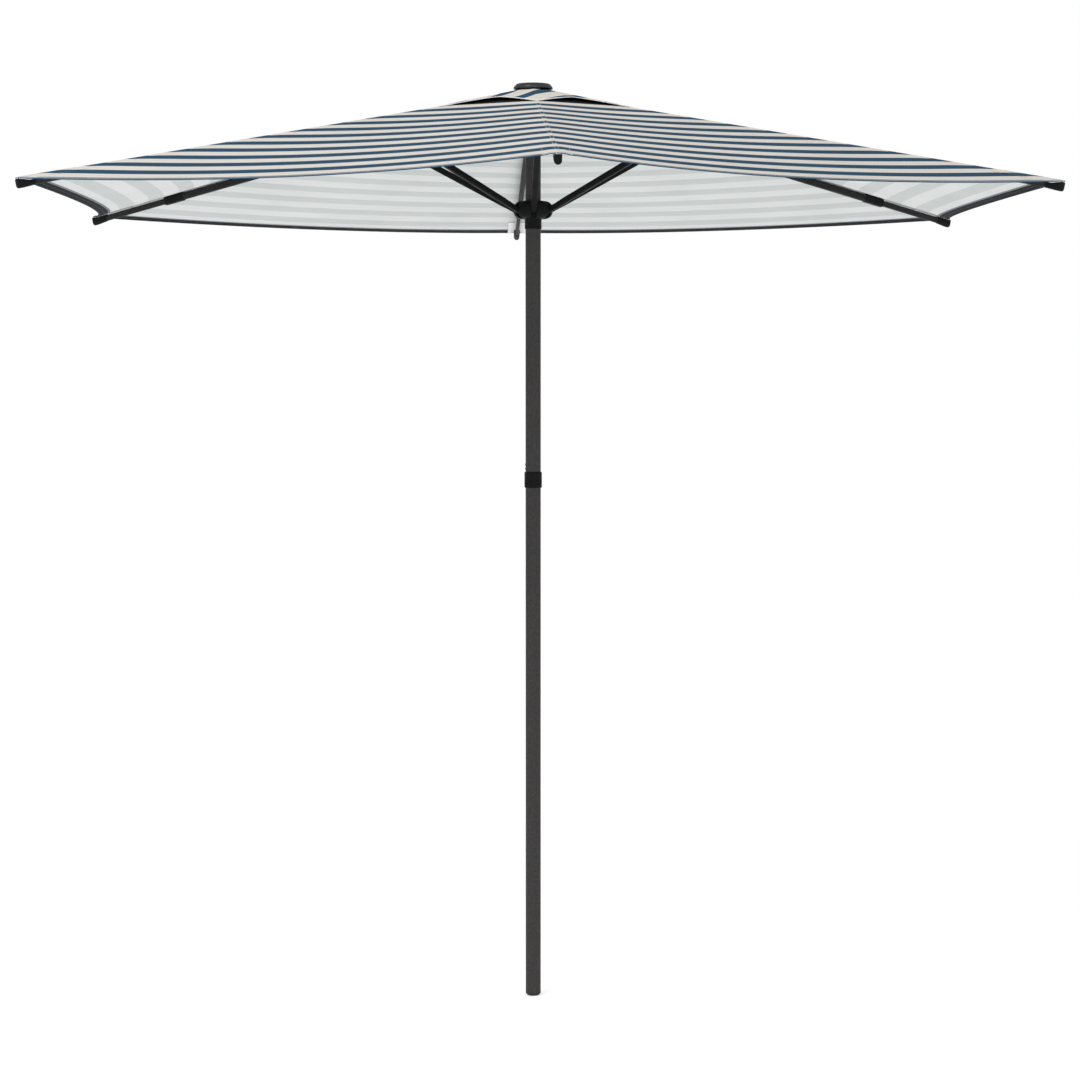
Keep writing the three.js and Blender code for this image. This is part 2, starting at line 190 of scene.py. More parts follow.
@dataclass(frozen=True)
class PowderCoat:
    """Satin powder coat on steel tube: fine orange peel, soft mottling and worn edges."""

    name: str
    color: tuple[float, float, float]
    worn: tuple[float, float, float]
    roughness: float = 0.36
    shine: float = 0.2
    grain: float = 700.0

    def build(self) -> bpy.types.Material:
        """Makes the material."""
        w = Wiring(self.name)
        place = w.object_place()
        mottle = w.noise(place, 9.0, 3.0)
        base = w.mix(mottle, shade(*self.color, 0.82), shade(*self.color, 1.18))
        edge = w.add("NewGeometry").outputs["Pointiness"]
        wear = w.math("MULTIPLY", w.ramp(edge, 0.53, 0.6), w.noise(place, 160.0, 4.0))
        color = w.mix(wear, base, shade(*self.worn))
        smudge = w.ramp(w.noise(place, 22.0, 4.0), 0.35, 0.7, self.roughness - 0.05, self.roughness + 0.09)
        w.surface(color, smudge, Metallic=0.0, Specular_IOR_Level=self.shine)
        w.bump(w.noise(place, self.grain, 2.0), 0.00012, 0.35)
        return w.material


@dataclass(frozen=True)
class MouldedPlastic:
    """Black moulded plastic with a fine spark-eroded grain and edges rubbed a little shiny."""

    name: str
    color: tuple[float, float, float]
    roughness: float = 0.42
    shine: float = 0.13
    grain: float = 1400.0

    def build(self) -> bpy.types.Material:
        """Makes the material."""
        w = Wiring(self.name)
        place = w.object_place()
        drift = w.noise(place, 30.0, 3.0)
        edge = w.ramp(w.add("NewGeometry").outputs["Pointiness"], 0.52, 0.6)
        body = w.mix(drift, shade(*self.color, 0.8), shade(*self.color, 1.25))
        color = w.mix(w.math("MULTIPLY", edge, 0.35), body, shade(*self.color, 3.2))
        dull = w.ramp(w.noise(place, 60.0, 3.0), 0.3, 0.7, self.roughness - 0.06, self.roughness + 0.1)
        w.surface(color, dull, Metallic=0.0, Specular_IOR_Level=self.shine)
        w.bump(w.noise(place, self.grain, 1.0), 0.00012, 0.45)
        return w.material


@dataclass(frozen=True)
class ZincSteel:
    """Zinc-plated steel with drawn lines along it and dull patches."""

    name: str
    color: tuple[float, float, float] = (0.52, 0.52, 0.5)
    roughness: float = 0.34

    def build(self) -> bpy.types.Material:
        """Makes the material."""
        w = Wiring(self.name)
        place = w.object_place()
        drawn = w.add("Mapping", {"Vector": place, "Scale": (900.0, 900.0, 12.0)}).outputs[0]
        lines = w.noise(drawn, 1.0, 2.0)
        patches = w.noise(place, 40.0, 4.0)
        color = w.mix(patches, shade(*self.color, 0.75), shade(*self.color, 1.1))
        dull = w.ramp(patches, 0.3, 0.7, self.roughness - 0.06, self.roughness + 0.14)
        w.surface(color, dull, Metallic=1.0)
        w.bump(lines, 0.0001, 0.4)
        return w.material


@dataclass(frozen=True)
class Stripes:
    """How the cloth's stripes repeat: the middle of one navy stripe, the repeat and the navy share."""

    first: float
    pitch: float
    navy_share: float

    def cream(self, w: Wiring, along: object, soft: float = 0.012) -> bpy.types.NodeSocket:
        """The share of cream at a place: 0 in a navy stripe, 1 between two.

        Args:
            w: the material's wiring.
            along: the place across the stripes, in metres.
            soft: half the width of the blurred edge, as a share of the repeat.

        Returns:
            The share, as an output.
        """
        return w.ramp(self.distance(w, along), self.navy_share / 2 - soft, self.navy_share / 2 + soft)

    def distance(self, w: Wiring, along: object) -> bpy.types.NodeSocket:
        """The distance from the nearest navy stripe's middle, as a share of the repeat."""
        turns = w.math("DIVIDE", w.math("SUBTRACT", along, self.first), self.pitch)
        part = w.math("FRACT", w.math("ADD", turns, 1000.5))
        return w.math("ABSOLUTE", w.math("SUBTRACT", part, 0.5))


@dataclass(frozen=True)
class Stitches:
    """Rows of dashed thread at given distances from an edge."""

    rows: tuple[float, ...]
    width: float = 0.0011
    length: float = 0.0042

    def share(self, w: Wiring, distance: object, along: object) -> bpy.types.NodeSocket:
        """How much of a place is thread.

        Args:
            w: the material's wiring.
            distance: the distance from the edge, in metres.
            along: the place along the edge, in metres.

        Returns:
            The share, as an output.
        """
        dash = w.math("FRACT", w.math("ADD", w.math("DIVIDE", along, self.length), 1000.0))
        gap = w.ramp(dash, 0.72, 0.82, 1.0, 0.0)
        total = None
        for row in self.rows:
            off = w.math("ABSOLUTE", w.math("SUBTRACT", distance, row))
            line = w.ramp(off, self.width * 0.35, self.width * 0.75, 1.0, 0.0)
            total = line if total is None else w.math("MAXIMUM", total, line)
        return w.math("MULTIPLY", total, gap)


@dataclass(frozen=True)
class WovenCloth:
    """Striped woven polyester: coloured yarns, a plain weave, sewn edges and soft creasing."""

    name: str
    navy: tuple[float, float, float]
    cream: tuple[float, float, float]
    stripes: Stripes
    hem_stitches: Stitches | None = None
    seam_stitches: Stitches | None = None
    thread: tuple[float, float, float] = (0.62, 0.62, 0.6)
    selvedge: tuple[float, float, float] = (0.85, 0.84, 0.82)
    yarn: float = 0.0011
    roughness: float = 0.82

    def build(self) -> bpy.types.Material:
        """Makes the material."""
        w = Wiring(self.name)
        cloth = w.add("UVMap", uv_map=CLOTH_UV).outputs[0]
        axes = w.add("SeparateXYZ", {0: cloth})
        down, across = axes.outputs[0], axes.outputs[1]
        cream = self.stripes.cream(w, down)
        color = w.mix(cream, shade(*self.navy), shade(*self.cream))
        off = w.math("SUBTRACT", self.stripes.distance(w, down), self.stripes.navy_share / 2 + 0.04)
        rim = w.math("ABSOLUTE", off)
        color = w.mix(w.ramp(rim, 0.005, 0.04, 0.5, 0.0), color, shade(*self.selvedge))
        yarns = w.add("Mapping", {"Vector": cloth, "Scale": (900.0, 14.0, 1.0)}).outputs[0]
        slub = w.noise(yarns, 1.0, 2.0)
        faded = w.noise(cloth, 3.5, 3.0)
        tone = w.math("ADD", w.ramp(slub, 0.3, 0.7, 0.93, 1.03), w.ramp(faded, 0.3, 0.7, -0.03, 0.03))
        color = w.add("VectorMath", {0: color, "Scale": tone}, operation="SCALE").outputs[0]
        color = self._sewn(w, color)
        w.surface(color, w.ramp(slub, 0.2, 0.8, self.roughness - 0.06, self.roughness + 0.08),
                  Sheen_Weight=0.02, Sheen_Roughness=0.5, Specular_IOR_Level=0.1)
        w.bump(self._weave(w, down, across), 0.0004, 0.35)
        return w.material

    def _sewn(self, w: Wiring, color: object) -> object:
        """Adds the rows of thread along the hem and beside the rib seam."""
        edges = w.add("SeparateXYZ", {0: w.add("UVMap", uv_map=EDGE_UV).outputs[0]})
        seam, hem = edges.outputs[0], edges.outputs[1]
        if self.hem_stitches:
            color = w.mix(self.hem_stitches.share(w, hem, seam), color, shade(*self.thread))
        if self.seam_stitches:
            color = w.mix(self.seam_stitches.share(w, seam, hem), color, shade(*self.thread))
        return color

    def _weave(self, w: Wiring, down: object, across: object) -> bpy.types.NodeSocket:
        """The height of a plain weave."""
        turn = 2 * math.pi / self.yarn
        over = w.math("SINE", w.math("MULTIPLY", down, turn))
        under = w.math("SINE", w.math("MULTIPLY", across, turn))
        return w.math("MAXIMUM", over, under)


@dataclass(frozen=True)
class NetCloth:
    """Black polyester net with a small square mesh."""

    name: str
    thread: tuple[float, float, float] = (0.012, 0.013, 0.016)
    gap: tuple[float, float, float] = (0.002, 0.002, 0.003)
    mesh: float = 0.0022

    def build(self) -> bpy.types.Material:
        """Makes the material."""
        w = Wiring(self.name)
        axes = w.add("SeparateXYZ", {0: w.add("UVMap", uv_map=CLOTH_UV).outputs[0]})
        turn = 2 * math.pi / self.mesh
        waves = [w.math("SINE", w.math("MULTIPLY", axes.outputs[i], turn)) for i in (0, 1)]
        threads = w.math("MAXIMUM", waves[0], waves[1])
        color = w.mix(w.ramp(threads, 0.2, 0.8), shade(*self.gap), shade(*self.thread))
        w.surface(color, w.ramp(threads, 0.0, 1.0, 0.95, 0.75), Specular_IOR_Level=0.2)
        w.bump(threads, 0.0005, 0.6)
        return w.material


@dataclass(frozen=True)
class StudioPaper:
    """A seamless pale light table with a faint tooth."""

    name: str = "studio_paper"
    color: tuple[float, float, float] = (0.80, 0.80, 0.80)
    glow: float = 0.52

    def build(self) -> bpy.types.Material:
        """Makes the material."""
        w = Wiring(self.name)
        fleck = w.noise(w.object_place(), 6.0, 4.0)
        w.surface(w.mix(fleck, shade(*self.color, 0.985), shade(*self.color)), 0.9,
                  Specular_IOR_Level=0.1, Emission_Strength=self.glow)
        w.feed(w.shader.inputs["Emission Color"], shade(1.0, 1.0, 1.0))
        return w.material


NAVY = (0.021, 0.076, 0.135)
CREAM = (0.785, 0.735, 0.68)
CANOPY_STRIPES = Stripes(first=1.354, pitch=0.102, navy_share=0.49)
PATCH_STRIPES = Stripes(first=1.361, pitch=0.102, navy_share=0.49)
VENT_STRIPES = Stripes(first=0.048, pitch=0.085, navy_share=0.40)
HEM_STITCHES = Stitches(rows=(0.0030, 0.0085, 0.0140), width=0.0026)
SEAM_STITCHES = Stitches(rows=(0.0045,))


@dataclass
class Finishes:
    """Every finish of the umbrella, made once."""

    pole: bpy.types.Material = field(init=False)
    frame: bpy.types.Material = field(init=False)
    plastic: bpy.types.Material = field(init=False)
    gloss: bpy.types.Material = field(init=False)
    steel: bpy.types.Material = field(init=False)
    canopy: bpy.types.Material = field(init=False)
    canopy_back: bpy.types.Material = field(init=False)
    shaded_hem_back: bpy.types.Material = field(init=False)
    hem_edge: bpy.types.Material = field(init=False)
    patch: bpy.types.Material = field(init=False)
    vent: bpy.types.Material = field(init=False)
    vent_back: bpy.types.Material = field(init=False)
    lining: bpy.types.Material = field(init=False)
    net: bpy.types.Material = field(init=False)

    def __post_init__(self) -> None:
        """Builds the materials."""
        self.pole = PowderCoat("charcoal_coat", (0.030, 0.028, 0.0285), (0.10, 0.097, 0.095),
                               shine=0.05).build()
        self.frame = PowderCoat("black_coat", (0.0085, 0.0085, 0.009), (0.05, 0.05, 0.05),
                                roughness=0.5, shine=0.05).build()
        self.plastic = MouldedPlastic("black_plastic", (0.0075, 0.0078, 0.0082), shine=0.06).build()
        self.gloss = MouldedPlastic("gloss_plastic", (0.012, 0.0125, 0.013), roughness=0.24,
                                    shine=0.6).build()
        self.steel = ZincSteel("zinc_steel").build()
        sewn = {"hem_stitches": HEM_STITCHES, "seam_stitches": SEAM_STITCHES}
        self.canopy = WovenCloth("canopy_cloth", NAVY, CREAM, CANOPY_STRIPES, **sewn).build()
        self.patch = WovenCloth("patch_cloth", NAVY, CREAM, PATCH_STRIPES, hem_stitches=HEM_STITCHES,
                                seam_stitches=Stitches(rows=(0.0365, 0.0045))).build()
        self.vent = WovenCloth("vent_cloth", NAVY, CREAM, VENT_STRIPES,
                               hem_stitches=Stitches(rows=(0.006,))).build()
        # The undersides of the canopy and the vent cap: their stripes are partly the print showing through,
        # and partly painted light shining through the cream stripes with painted shade behind the navy ones.
        pale, shadow = (0.70, 0.72, 0.715), (0.575, 0.605, 0.60)
        self.canopy_back = WovenCloth("canopy_back", shadow, pale, CANOPY_STRIPES,
                                      seam_stitches=SEAM_STITCHES, selvedge=pale).build()
        self.vent_back = WovenCloth("vent_back", shadow, pale, VENT_STRIPES, selvedge=pale).build()
        # The inside of the folded hem shows the outer navy print, but both its stripes and its thread are
        # painted near-black as the shade inside the fold.
        fold_cream_in_shade, fold_navy_in_shade = (0.0030, 0.0042, 0.0085), (0.0022, 0.0030, 0.0060)
        self.shaded_hem_back = WovenCloth("shaded_hem_back", fold_navy_in_shade, fold_cream_in_shade, CANOPY_STRIPES, selvedge=fold_cream_in_shade,
                                   hem_stitches=Stitches(rows=(0.0035, 0.0195)),
                                   thread=(0.10, 0.105, 0.11)).build()
        grey = (0.19, 0.20, 0.215)
        self.hem_edge = WovenCloth("hem_edge", grey, grey, CANOPY_STRIPES, selvedge=grey).build()
        white = (0.93, 0.93, 0.94)
        self.lining = WovenCloth("white_lining", white, white, CANOPY_STRIPES, selvedge=white,
                                 seam_stitches=Stitches(rows=(0.0330,)), thread=(0.6, 0.6, 0.6)).build()
        self.net = NetCloth("black_net").build()


# ---- Mesh making ----
def add_piece(name: str, mesh: bpy.types.Mesh, materials: Iterable[bpy.types.Material]) -> bpy.types.Object:
    """Puts a mesh into the scene as a smooth-shaded piece.

    Args:
        name: the piece's name.
        mesh: its mesh, in the row frame.
        materials: its materials, in the order of the faces' indices.

    Returns:
        The new object.
    """
    mesh.name = name
    for material in materials:
        mesh.materials.append(material)
    piece = bpy.data.objects.new(name, mesh)
    bpy.context.scene.collection.objects.link(piece)
    mesh.polygons.foreach_set("use_smooth", [True] * len(mesh.polygons))
    mesh.set_sharp_from_angle(angle=math.radians(38))
    return piece


def soften(piece: bpy.types.Object, width: float, segments: int = 2) -> bpy.types.Object:
    """Rounds a piece's edges, as a moulded or pressed part has them."""
    bevel = piece.modifiers.new("rounded_edges", "BEVEL")
    bevel.width = width
    bevel.segments = segments
    bevel.limit_method = "ANGLE"
    bevel.angle_limit = math.radians(38)
    bevel.harden_normals = True
    return piece


def mesh_of(points: Iterable[Sequence[float]], faces: Iterable[Sequence[int]],
            turn: Matrix | None = None) -> bpy.types.Mesh:
    """Makes a mesh with outward faces.

    Args:
        points: its corners.
        faces: the corners of each face.
        turn: an optional matrix that moves the finished mesh.

    Returns:
        The mesh.
    """
    mesh = bpy.data.meshes.new("mesh")
    mesh.from_pydata([tuple(p) for p in points], [], list(faces))
    work = bmesh.new()
    work.from_mesh(mesh)
    bmesh.ops.remove_doubles(work, verts=work.verts, dist=1e-7)
    bmesh.ops.recalc_face_normals(work, faces=work.faces)
    work.to_mesh(mesh)
    work.free()
    if turn is not None:
        mesh.transform(turn)
    return mesh


def turned(outline: Outline, sides: int = 96) -> bpy.types.Mesh:
    """A body turned about the Z axis from its closed (radius, height) outline."""
    points, count = [], len(outline)
    for side in range(sides):
        angle = 2 * math.pi * side / sides
        points += [(r * math.cos(angle), r * math.sin(angle), z) for r, z in outline]
    faces = []
    for side in range(sides):
        here, there = side * count, (side + 1) % sides * count
        for i in range(count):
            j = (i + 1) % count
            if outline[i][0] < 1e-9 and outline[j][0] < 1e-9:
                continue
            faces.append((here + i, there + i, there + j, here + j))
    return mesh_of(points, faces)


def arc(centre: tuple[float, float], radius: float, start: float, end: float,
        steps: int = 6) -> list[tuple[float, float]]:
    """Points on a round stretch of an outline, angles in degrees."""
    angles = [math.radians(start + (end - start) * i / steps) for i in range(steps + 1)]
    return [(centre[0] + radius * math.cos(a), centre[1] + radius * math.sin(a)) for a in angles]


def rounded_section(width: float, depth: float, radius: float) -> list[tuple[float, float]]:
    """A rectangle with round corners, as (across, up) points."""
    x, y = width / 2 - radius, depth / 2 - radius
    corners = ((x, y, 0), (-x, y, 90), (-x, -y, 180), (x, -y, 270))
    return [p for cx, cy, a in corners for p in arc((cx, cy), radius, a, a + 90, 4)]


def lofted(stations: Sequence[tuple[float, Outline]], turn: Matrix | None = None) -> bpy.types.Mesh:
    """A body carried along +X through closed sections with equal numbers of points.

    Args:
        stations: the place along X of each section, and its (across, up) points.
        turn: an optional matrix for the finished mesh.

    Returns:
        The closed mesh.
    """
    points = [(x, u, v) for x, section in stations for u, v in section]
    count = len(stations[0][1])
    faces = [tuple(range(count)), tuple(range(len(points) - count, len(points)))]
    for row in range(len(stations) - 1):
        for i in range(count):
            j = (i + 1) % count
            low, high = row * count, (row + 1) * count
            faces.append((low + i, low + j, high + j, high + i))
    return mesh_of(points, faces, turn)


def rounded_end(place: float, sign: int, radius: float, width: float, corner: float,
                count: int) -> list[tuple[float, Outline]]:
    """The sections of a tube's round end, from its tip towards its pivot.

    Args:
        place: where the pivot is along the tube.
        sign: 1 for an end that points along the tube, -1 for one that points back.
        radius: half the end's depth.
        width: its width.
        corner: the radius of its corners.
        count: the number of sections.

    Returns:
        The place along the tube of each section, and its points.
    """
    stations = []
    for a in (math.radians(12 + 13 * i) for i in range(count)):
        half = radius * math.sin(a)
        section = rounded_section(width, 2 * half, min(corner, 0.9 * half))
        stations.append((place + sign * radius * math.cos(a), section))
    return stations


def plate(outline: Outline, low: float, high: float, turn: Matrix | None = None) -> bpy.types.Mesh:
    """A side outline (x, z) as a plate between two places across it."""
    count = len(outline)
    points = [(x, low, z) for x, z in outline] + [(x, high, z) for x, z in outline]
    faces = [tuple(range(count)), tuple(range(count, 2 * count))]
    faces += [(i, (i + 1) % count, (i + 1) % count + count, i + count) for i in range(count)]
    return mesh_of(points, faces, turn)


def block(low: Sequence[float], high: Sequence[float], turn: Matrix | None = None) -> bpy.types.Mesh:
    """A plain cutter between two corners."""
    outline = ((low[0], low[2]), (high[0], low[2]), (high[0], high[2]), (low[0], high[2]))
    return plate(outline, low[1], high[1], turn)


def pin(radius: float, length: float, x: float, z: float, turn: Matrix | None = None,
        sides: int = 24) -> bpy.types.Mesh:
    """A round pin along Y through (x, z), with turned-down ends."""
    rim, half = radius * 0.8, length / 2
    rings = ((-half, rim), (-half + radius * 0.2, radius), (half - radius * 0.2, radius), (half, rim))
    points = [(x + r * math.cos(a), y, z + r * math.sin(a))
              for y, r in rings for a in (2 * math.pi * i / sides for i in range(sides))]
    faces = [tuple(range(sides)), tuple(range(3 * sides, 4 * sides))]
    for row in range(3):
        for i in range(sides):
            j = (i + 1) % sides
            low, high = row * sides, (row + 1) * sides
            faces.append((low + i, low + j, high + j, high + i))
    return mesh_of(points, faces, turn)


def combined(base: bpy.types.Mesh, others: Iterable[bpy.types.Mesh], operation: str) -> bpy.types.Mesh:
    """Cuts meshes from a base, or joins them to it.

    Args:
        base: the mesh to work on.
        others: the meshes to cut or join.
        operation: DIFFERENCE or UNION.

    Returns:
        The finished mesh.
    """
    subject = bpy.data.objects.new("subject", base)
    bpy.context.scene.collection.objects.link(subject)
    tools = []
    for mesh in others:
        tool = bpy.data.objects.new("tool", mesh)
        bpy.context.scene.collection.objects.link(tool)
        tools.append(tool)
        step = subject.modifiers.new("step", "BOOLEAN")
        step.operation = operation
        step.solver = "EXACT"
        step.object = tool
    made = bpy.data.meshes.new_from_object(subject.evaluated_get(bpy.context.evaluated_depsgraph_get()))
    for temporary in [subject, *tools]:
        bpy.data.objects.remove(temporary)
    return made


# ---- Where the ribs are ----
def joint(name: str) -> dict:
    """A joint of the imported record, by name."""
    return next(j for j in frame["joints"] if j["name"] == name)


def node_points(node: str) -> list[Vector]:
    """The corners of a CAD node's mesh."""
    return [v.co.copy() for v in frame["nodes"][node].data.vertices]


@cache
def span(node: str) -> tuple[float, float]:
    """The lowest and highest height of a CAD node."""
    low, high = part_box(node)
    return low.z, high.z


def rib_angle(rib: int) -> float:
    """The direction of a rib in plan, counted from 1."""
    return FIRST_RIB + (rib - 1) * 2 * HALF_GORE


def plan_turn(rib: int) -> Matrix:
    """Turns a piece from the X axis onto a rib's direction."""
    return Matrix.Rotation(rib_angle(rib), 4, "Z")


@dataclass(frozen=True)
class RibLine:
    """The straight line on which every rib lies when the umbrella is open."""

    pivot_radius: float
    pivot_height: float
    slope: float

    @classmethod
    def from_frame(cls) -> "RibLine":
        """Reads the line from the first rib's hinge and its outer tube."""
        hinge = Vector(joint("rib_1_hinge")["pos_m"])
        points = node_points("rib_1_outer_tube")
        near, far = -max(p.y for p in points), -min(p.y for p in points)
        middle = (near + far) / 2
        inner = [p for p in points if -p.y < middle]
        outer = [p for p in points if -p.y >= middle]
        start, end = (sum(g, Vector()) / len(g) for g in (inner, outer))
        return cls(math.hypot(hinge.x, hinge.y), hinge.z, math.atan2(start.z - end.z, start.y - end.y))

    def height(self, radius: float) -> float:
        """The height of the line at a distance from the pole's axis."""
        return self.pivot_height - math.tan(self.slope) * (radius - self.pivot_radius)

    def turn(self, rib: int) -> Matrix:
        """Places a piece made along +X from the pivot onto a rib."""
        place = Matrix.Translation((self.pivot_radius, 0, self.pivot_height))
        return plan_turn(rib) @ place @ Matrix.Rotation(self.slope, 4, "Y")

    def panel_axes(self, side: Side) -> tuple[Vector, Vector]:
        """The direction across a half gore away from its rib, and the half gore's upward normal."""
        fall = math.atan(math.tan(self.slope) / math.cos(HALF_GORE))
        normal = Vector((math.sin(fall) * math.cos(HALF_GORE),
                         side.value * math.sin(fall) * math.sin(HALF_GORE), math.cos(fall)))
        along = Vector((math.cos(self.slope), 0, -math.sin(self.slope)))
        across = normal.cross(along)
        return across * (side.value * (1 if across.y > 0 else -1)), normal


RIB_LINE = RibLine.from_frame()


@dataclass(frozen=True)
class Fold:
    """Two fold settings for the cloth beside a rib: keep and an outward angle."""

    keep: float
    outward: float

    def apply(self, piece: bpy.types.Object, rib: int, side: Side, lift: float) -> None:
        """Gives a finished piece that rides on a rib its own copy of its mesh.

        Args:
            piece: the cloth.
            rib: the rib's number; not used.
            side: which side of the rib the cloth is on.
            lift: the height of the cloth over the rib's line; not used.
        """
        across, normal = RIB_LINE.panel_axes(side)
        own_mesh(piece)


def dressed(piece: bpy.types.Object, body: str, slot: Slot, *nodes: str) -> bpy.types.Object:
    """Puts a piece on the body that it rides on, hides the CAD nodes it stands for, and logs it."""
    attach(piece, body)
    if nodes:
        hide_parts(*nodes)
    LOG.info("%s rides on %s", piece.name, body)
    return piece


def finish_node(node: str, material: bpy.types.Material) -> None:
    """Gives a CAD node that stays in view its finish."""
    mesh = frame["nodes"][node].data
    mesh.materials.clear()
    mesh.materials.append(material)
    LOG.info("%s keeps its own shape", node)


# ---- Pole ----
@dataclass
class Pole:
    """The two pole tubes, the foot, the joint between them and its rivets."""

    finishes: Finishes
    radius: float = 0.019
    wall: float = 0.0012
    foot_face: float = 0.0145
    foot_chamfer: float = 0.0046
    collar_radius: float = 0.0218
    collar_round: float = 0.0026
    spigot_radius: float = 0.0175
    spigot_wall: float = 0.0015
    rivet_radius: float = 0.0026
    rivet_dome: float = 0.0011
    catch_slot: float = 0.006

    def build(self) -> None:
        """Makes every piece of the pole."""
        self.lower_tube()
        self.foot()
        self.collar()
        self.upper_tube()
        self.spigot()
        for number in (1, 2):
            self.rivet(number)

    def tube_outline(self, low: float, high: float) -> Outline:
        """A tube's outline with its cut ends eased."""
        ease, outer, inner = 0.0004, self.radius, self.radius - self.wall
        return [(inner, low), (outer - ease, low), (outer, low + ease),
                (outer, high - ease), (outer - ease, high), (inner, high)]

    def lower_tube(self) -> None:
        """The lower half of the pole."""
        mesh = turned(self.tube_outline(*span("lower_pole_tube")))
        piece = add_piece("lower_pole", mesh, [self.finishes.pole])
        dressed(piece, "lower_pole", Slot.POLE, "lower_pole_tube")

    def foot(self) -> None:
        """The chamfered plug that closes the pole's foot."""
        low, high = span("foot_plug")
        shoulder = span("lower_pole_tube")[0] - 0.0003
        inner = self.radius - self.wall - 0.0004
        outline = [(0, low), (self.foot_face - 0.001, low),
                   *arc((self.foot_face - 0.001, low + 0.001), 0.001, -90, -40, 3),
                   (self.radius - 0.0003, self.foot_chamfer), (self.radius, self.foot_chamfer + 0.0006),
                   (self.radius, shoulder), (inner, shoulder), (inner, high - 0.002),
                   (inner - 0.002, high), (0, high)]
        piece = add_piece("foot_plug_cap", turned(outline), [self.finishes.pole])
        dressed(piece, "lower_pole", Slot.POLE, "foot_plug")

    def collar(self) -> None:
        """The plastic collar on top of the lower half, with a fine parting line."""
        low, high = span("joint_collar")
        bore, outer, r = self.radius + 0.0003, self.collar_radius, self.collar_round
        line, depth = (low + high) / 2, 0.00025
        outline = [(bore, low), *arc((outer - r, low + r), r, -90, 0), (outer, line - 0.0006),
                   (outer - depth, line), (outer, line + 0.0006), *arc((outer - r, high - r), r, 0, 90),
                   (bore, high)]
        piece = add_piece("pole_collar", turned(outline), [self.finishes.plastic])
        dressed(piece, "lower_pole", Slot.PLASTIC, "joint_collar")

    def upper_tube(self) -> None:
        """The upper half of the pole, with the slot that its catch comes through."""
        mesh = turned(self.tube_outline(*span("upper_pole_tube")))
        high = span("runner_catch")[1]
        slot_low = high - 0.0374
        half = self.catch_slot / 2
        cutter = block((-half, self.radius - 0.005, slot_low), (half, self.radius + 0.005, high + 0.001))
        piece = add_piece("upper_pole", combined(mesh, [cutter], "DIFFERENCE"), [self.finishes.pole])
        dressed(piece, "upper_pole", Slot.POLE, "upper_pole_tube")

    def spigot(self) -> None:
        """The steel tube inside the joint, with a tapered leading end."""
        low, high = span("joint_spigot")
        outer, inner = self.spigot_radius, self.spigot_radius - self.spigot_wall
        outline = [(inner, low), (outer - 0.0014, low), (outer, low + 0.004), (outer, high - 0.0005),
                   (outer - 0.0005, high), (inner, high)]
        piece = add_piece("pole_spigot", turned(outline, 64), [self.finishes.steel])
        dressed(piece, "upper_pole", Slot.STEEL, "joint_spigot")

    def rivet(self, number: int) -> None:
        """A blackened pop rivet on the pole's side.

        Args:
            number: 1 for the upper rivet, 2 for the lower one.
        """
        low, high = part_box(f"joint_rivet_{number}")
        r, dome = self.rivet_radius, self.rivet_dome
        outline = [(0, -0.004), (r * 0.72, -0.004), (r * 0.72, 0), (r, 0), (r, dome * 0.35),
                   (r * 0.86, dome * 0.75), (r * 0.5, dome), (r * 0.42, dome * 0.8), (0, dome * 0.72)]
        mesh = turned(outline, 32)
        seat = Vector((-self.radius, 0, (low.z + high.z) / 2))
        mesh.transform(Matrix.Translation(seat) @ Matrix.Rotation(-math.pi / 2, 4, "Y"))
        piece = add_piece(f"pole_rivet_{number}", mesh, [self.finishes.plastic])
        dressed(piece, "upper_pole", Slot.STEEL, f"joint_rivet_{number}")


